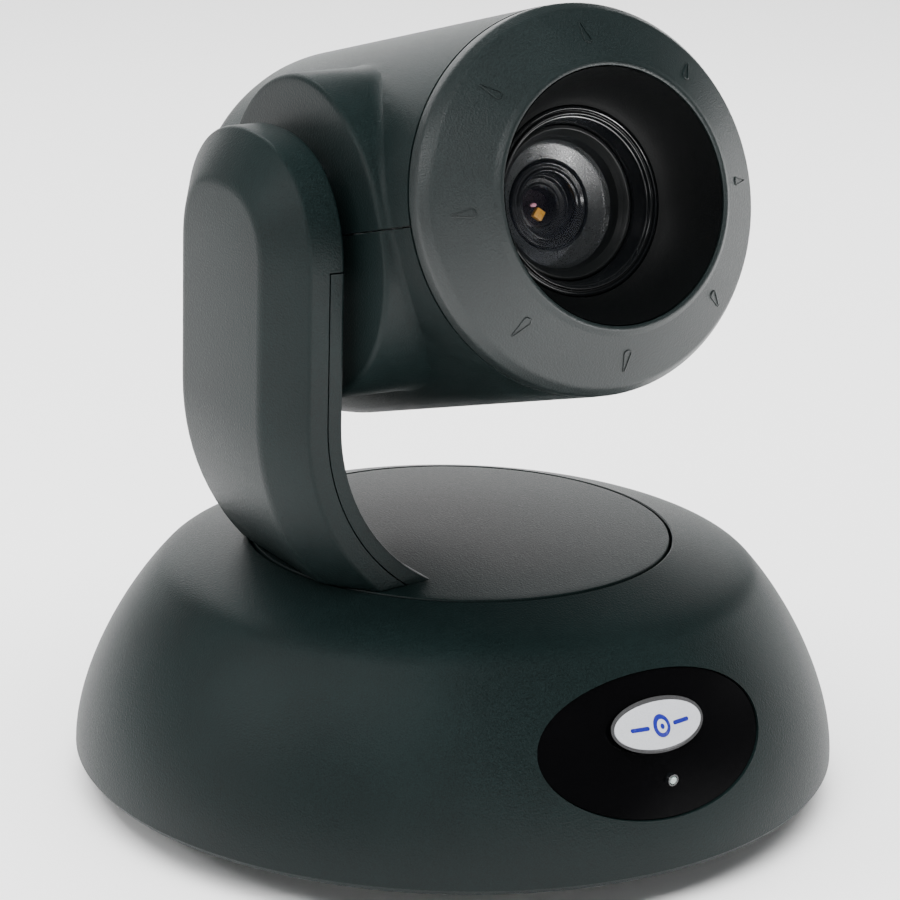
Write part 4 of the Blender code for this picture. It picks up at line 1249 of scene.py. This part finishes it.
@dataclass
class Lens:
    """Everything seen down the front of the head."""

    steps: int = 120

    def build(self) -> None:
        """Make the bowl, the barrel's rings, the glass and the cells behind it."""
        self._hood()
        self._barrel()
        self._front_element()
        self._zoom_cell()
        self._focus_cell()

    def _turned(self, name: str, outline: Sequence[Point], finish: object, body: Body, slot: Slot,
                *nodes: str) -> None:
        """Make one turned piece on the lens axis."""
        Piece(name, finish, body, slot, nodes, 35.0).make(lathe(outline, self.steps, LENS_AXIS), HEAD_FRAME)

    def _hood(self) -> None:
        """Dark bowl between the bezel and the lens."""
        bowl = bezier((31.0, 69.2), (30.0, 62.5), (27.4, 55.0), (23.9, 52.6), 20)
        back = bezier((24.4, 51.0), (28.4, 53.4), (31.0, 60.0), (31.25, 66.8), 10)
        self._turned(
            "lens_bowl", bowl + [(23.6, 52.3), (23.6, 51.0)] + back, BOWL_BLACK, Body.HEAD, Slot.BLACK,
            "lens_hood")

    def _barrel(self) -> None:
        """Lens barrel with glossy front rings and grooves, and the satin retaining ring."""
        front = soften([
            (23.4, 50.6), (23.4, 52.2, 0.4), (22.5, 52.6, 0.3), (22.3, 51.6, 0.2), (21.9, 51.6, 0.2),
            (21.8, 52.4, 0.3), (21.2, 52.4, 0.3), (20.9, 51.3, 0.2), (20.6, 51.2), (19.6, 47.6)], 3,
            closed=False)
        rear = [(19.4, 47.2), (19.4, 2.0), (21.6, 2.0), (21.6, 47.0), (23.0, 48.0)]
        self._turned("lens_tube", front + rear, GLOSS_RING, Body.HEAD, Slot.BLACK, "lens_barrel")
        ring = soften([
            (19.2, 42.0), (19.2, 46.4, 0.5), (18.3, 46.9, 0.4), (17.4, 45.6, 0.4), (16.6, 44.6, 0.3),
            (16.2, 42.8, 0.3), (15.9, 42.0)], 4)
        self._turned(
            "lens_retaining_ring", ring, SATIN_RING, Body.HEAD, Slot.BLACK, "retaining_ring")

    def _front_element(self) -> None:
        """Domed front glass over a stepped cone with bright-edged rings."""
        front = [(16.0 * step / 14, 45.0 - 2.4 * (step / 14) ** 2) for step in range(15)]
        rear = [(15.6 * step / 10, 43.6 - 2.0 * (step / 10) ** 2) for step in range(10, -1, -1)]
        self._turned(
            "front_element", front + [(16.1, 42.2), (15.8, 41.5)] + rear, FRONT_GLASS, Body.HEAD,
            Slot.GLASS, "front_glass")
        cone = soften([
            (19.2, 36.8), (19.2, 41.4, 0.3), (16.4, 41.4, 0.3), (15.4, 40.2, 2.0), (11.5, 38.6, 0.4),
            (11.1, 37.0)], 4)
        self._turned("lens_inner_cone", cone, CONE_GREY, Body.HEAD, Slot.BLACK)
        ring = soften([
            (11.0, 36.8), (11.0, 38.4, 0.3), (10.4, 38.9, 0.3), (9.6, 38.3, 0.3), (9.2, 38.3, 0.2),
            (8.7, 38.8, 0.3), (8.1, 38.4, 0.3), (7.9, 37.6), (7.9, 36.8)], 4)
        self._turned("lens_inner_ring", ring, GLOSS_RING, Body.HEAD, Slot.BLACK)

    def _zoom_cell(self) -> None:
        """Stepped cell behind the front glass, with its own lens and two small pieces of painted reflection:
        an amber square and a pink bead.
        """
        cell = soften([
            (19.0, 27.0), (19.0, 35.0, 0.3), (9.0, 35.0, 0.4), (7.6, 35.3, 0.3), (7.0, 34.4, 0.3),
            (6.0, 34.2, 0.2), (5.4, 34.6, 0.2), (4.9, 34.0, 0.3), (4.7, 30.0), (10.2, 27.0)], 3)
        self._turned("zoom_carrier", cell, LENS_BLACK, Body.ZOOM, Slot.BLACK, "zoom_cell")
        lens = [(4.5 * step / 10, 32.6 - 0.8 * (step / 10) ** 2) for step in range(11)]
        self._turned(
            "zoom_element", lens + [(4.5, 30.8), (0.0, 30.2)], INNER_GLASS, Body.ZOOM, Slot.GLASS,
            "zoom_lens")
        # Painted reflection: a small amber square that stands in for a glint seen through the iris.
        amber_glint_square = prism(rectangle((-1.3, -1.3), (1.3, 1.3), 0.2, 2), 31.9, 33.4, LENS_AXIS, 0.15)
        placed(amber_glint_square, Matrix.Rotation(math.radians(38.0), 4, "Y"), Matrix.Translation((0.3, 0.0, -1.9)))
        Piece("amber_painted_reflection", AMBER_GLINT_PAINT, Body.ZOOM, Slot.GLASS).make(amber_glint_square, HEAD_FRAME)
        # Painted reflection: a small pink bead that stands in for a coloured glint in the lens.
        pink_glint_bead = lathe(soften([(0.0, 33.0), (0.6, 33.0, 0.3), (0.5, 33.8, 0.3), (0.0, 33.9)], 3), 32, LENS_AXIS)
        placed(pink_glint_bead, Matrix.Scale(1.6, 4, (1.0, 0.0, 0.0)), Matrix.Translation((-1.3, 0.0, 0.5)))
        Piece("pink_painted_reflection", PINK_GLINT_PAINT, Body.ZOOM, Slot.GLASS).make(pink_glint_bead, HEAD_FRAME)

    def _focus_cell(self) -> None:
        """Iris and focus cell at the back."""
        cell = soften([
            (19.0, 9.0), (19.0, 17.0, 0.3), (12.0, 17.0, 0.4), (8.0, 15.4, 0.3), (6.2, 15.0, 0.2),
            (5.6, 14.2, 0.2), (5.6, 9.0)], 3)
        self._turned("focus_carrier", cell, LENS_BLACK, Body.FOCUS, Slot.BLACK, "focus_cell")
        lens = [(5.3 * step / 8, 13.6 - 0.9 * (step / 8) ** 2) for step in range(9)]
        self._turned(
            "focus_element", lens + [(5.3, 10.6), (0.0, 10.2)], INNER_GLASS, Body.FOCUS, Slot.GLASS,
            "focus_lens")


# Inside


@dataclass(frozen=True)
class Inside:
    """Finishes for the CAD pieces that keep their own shape."""

    looks: tuple[tuple[object, tuple[str, ...]], ...] = (
        (BOARD, ("front_board", "connector_board", "main_board", "sensor_board")),
        (SOCKET_BLACK, ("processor", "infrared_receiver", "image_sensor")),
        (STEEL, (
            "pan_shaft", "pan_bearing", "pan_motor", "pan_motor_carrier", "arm_frame", "tilt_bearing",
            "tilt_motor", "tilt_shaft", "head_bracket", "head_screw_1", "head_screw_2")),
        (CAST, ("pan_tower", "camera_block")),
        (BRASS, ("pan_pinion", "tilt_pinion")),
        (NYLON, ("pan_gear", "tilt_gear")),
    )

    def dress(self, nodes: dict[str, bpy.types.Object]) -> None:
        """Give each kept CAD node its finish.

        Args:
            nodes: CAD objects by node name.
        """
        for finish, names in self.looks:
            for name in names:
                node = nodes[name]
                node.data.materials.clear()
                node.data.materials.append(PAINT.of(finish))
                LOG.info("%s: %s", name, finish.name)


# Studio


@dataclass
class Studio:
    """Plain pale floor, soft light and the camera."""

    eye: Colour = (-0.4002, -0.65904, 0.32562)
    right: Colour = (0.84587856, -0.5322969, 0.03390375)
    up: Colour = (0.11452623, 0.24334139, 0.9631556)
    lens: float = 121.85
    shift: Point = (-0.0989, -0.0915)

    def build(self) -> None:
        """Make the camera, the floor, the lights and the surroundings."""
        self._camera()
        self._floor()
        self._surroundings()
        self._softbox("key_softbox", (-0.55, -0.25, 0.68), 0.3, 0.2, 1.8)
        self._softbox("left_softbox", (-0.85, 0.2, 0.56), 0.3, 0.2, 3.0)
        self._softbox("camera_softbox", (-0.6, -0.92, 0.36), 0.22, 0.16, 1.2)
        self._softbox("front_softbox", (-0.12, -0.95, 0.09), 0.3, 0.1, 0.8)
        self._softbox("right_softbox", (0.95, 0.15, 0.2), 0.3, 0.25, 0.8)
        self._softbox("low_card", (0.15, -0.46, 0.004), 0.34, 0.16, 3.6, (0.15, -0.46, 1.0))
        rear = self._softbox("rear_softbox", (0.45, 1.0, 0.3), 1.3, 0.34, 5.5)
        crown = self._softbox("crown_softbox", (0.05, 0.95, 0.8), 0.5, 0.24, 3.0)
        rear.visible_diffuse = crown.visible_diffuse = False
        fill = self._softbox("overhead_fill", (0.0, 0.0, 2.2), 3.0, 3.0, 240.0)
        fill.visible_glossy = False

    def _camera(self) -> None:
        """Camera at the viewing angle of a desk-height product picture."""
        right, up = Vector(self.right).normalized(), Vector(self.up)
        back = right.cross(up).normalized()
        up = back.cross(right)
        turn = Matrix((right, up, back)).transposed().to_4x4()
        data = bpy.data.cameras.new("view")
        data.lens = self.lens
        data.sensor_width = 36.0
        data.shift_x, data.shift_y = self.shift
        data.clip_start, data.clip_end = 0.01, 20.0
        camera = bpy.data.objects.new("view", data)
        camera.matrix_world = Matrix.Translation(self.eye) @ turn
        bpy.context.scene.collection.objects.link(camera)
        bpy.context.scene.camera = camera

    def _floor(self) -> None:
        """Pale floor that runs to the horizon."""
        bm = bmesh.new()
        bmesh.ops.create_grid(bm, x_segments=2, y_segments=2, size=12.0)
        mesh = bpy.data.meshes.new("floor")
        bm.to_mesh(mesh)
        bm.free()
        floor = bpy.data.objects.new("floor", mesh)
        bpy.context.scene.collection.objects.link(floor)
        sheet = NodeSheet("pale_floor")
        sheet.set(Base_Color=(0.93, 0.93, 0.93, 1.0), Roughness=0.9, Specular_IOR_Level=0.1)
        mesh.materials.append(sheet.material)

    def _surroundings(self) -> None:
        """White surroundings that darken upwards."""
        world = bpy.data.worlds.new("white_room")
        world.use_nodes = True
        tree = world.node_tree
        place = tree.nodes.new("ShaderNodeTexCoord")
        split = tree.nodes.new("ShaderNodeSeparateXYZ")
        fade = tree.nodes.new("ShaderNodeMapRange")
        fade.interpolation_type = "SMOOTHSTEP"
        for name, value in (("From Min", 0.0), ("From Max", 0.35), ("To Min", 1.0), ("To Max", 0.15)):
            fade.inputs[name].default_value = value
        background = tree.nodes["Background"]
        background.inputs["Color"].default_value = (1.0, 1.0, 1.0, 1.0)
        tree.links.new(place.outputs["Generated"], split.inputs[0])
        tree.links.new(split.outputs["Z"], fade.inputs["Value"])
        tree.links.new(fade.outputs["Result"], background.inputs["Strength"])
        bpy.context.scene.world = world

    def _softbox(self, name: str, place: Colour, width: float, height: float,
                 power: float, target: Colour = (0.0, 0.0, 0.1)) -> bpy.types.Object:
        """Area light that faces a target, which is half way up the object unless given."""
        data = bpy.data.lights.new(name, "AREA")
        data.shape = "RECTANGLE"
        data.size, data.size_y = width, height
        data.energy = power
        light = bpy.data.objects.new(name, data)
        light.location = place
        aim = Vector(place) - Vector(target)
        light.rotation_euler = aim.to_track_quat("Z", "Y").to_euler()
        bpy.context.scene.collection.objects.link(light)
        return light


def main() -> None:
    """Build the camera piece by piece."""
    logging.basicConfig(level=logging.INFO, format="%(message)s")
    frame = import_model()
    Studio().build()
    Base().build()
    Turntable().build()
    Arm().build()
    Head().build()
    Lens().build()
    Inside().dress(frame["nodes"])


if __name__ == "__main__":
    main()
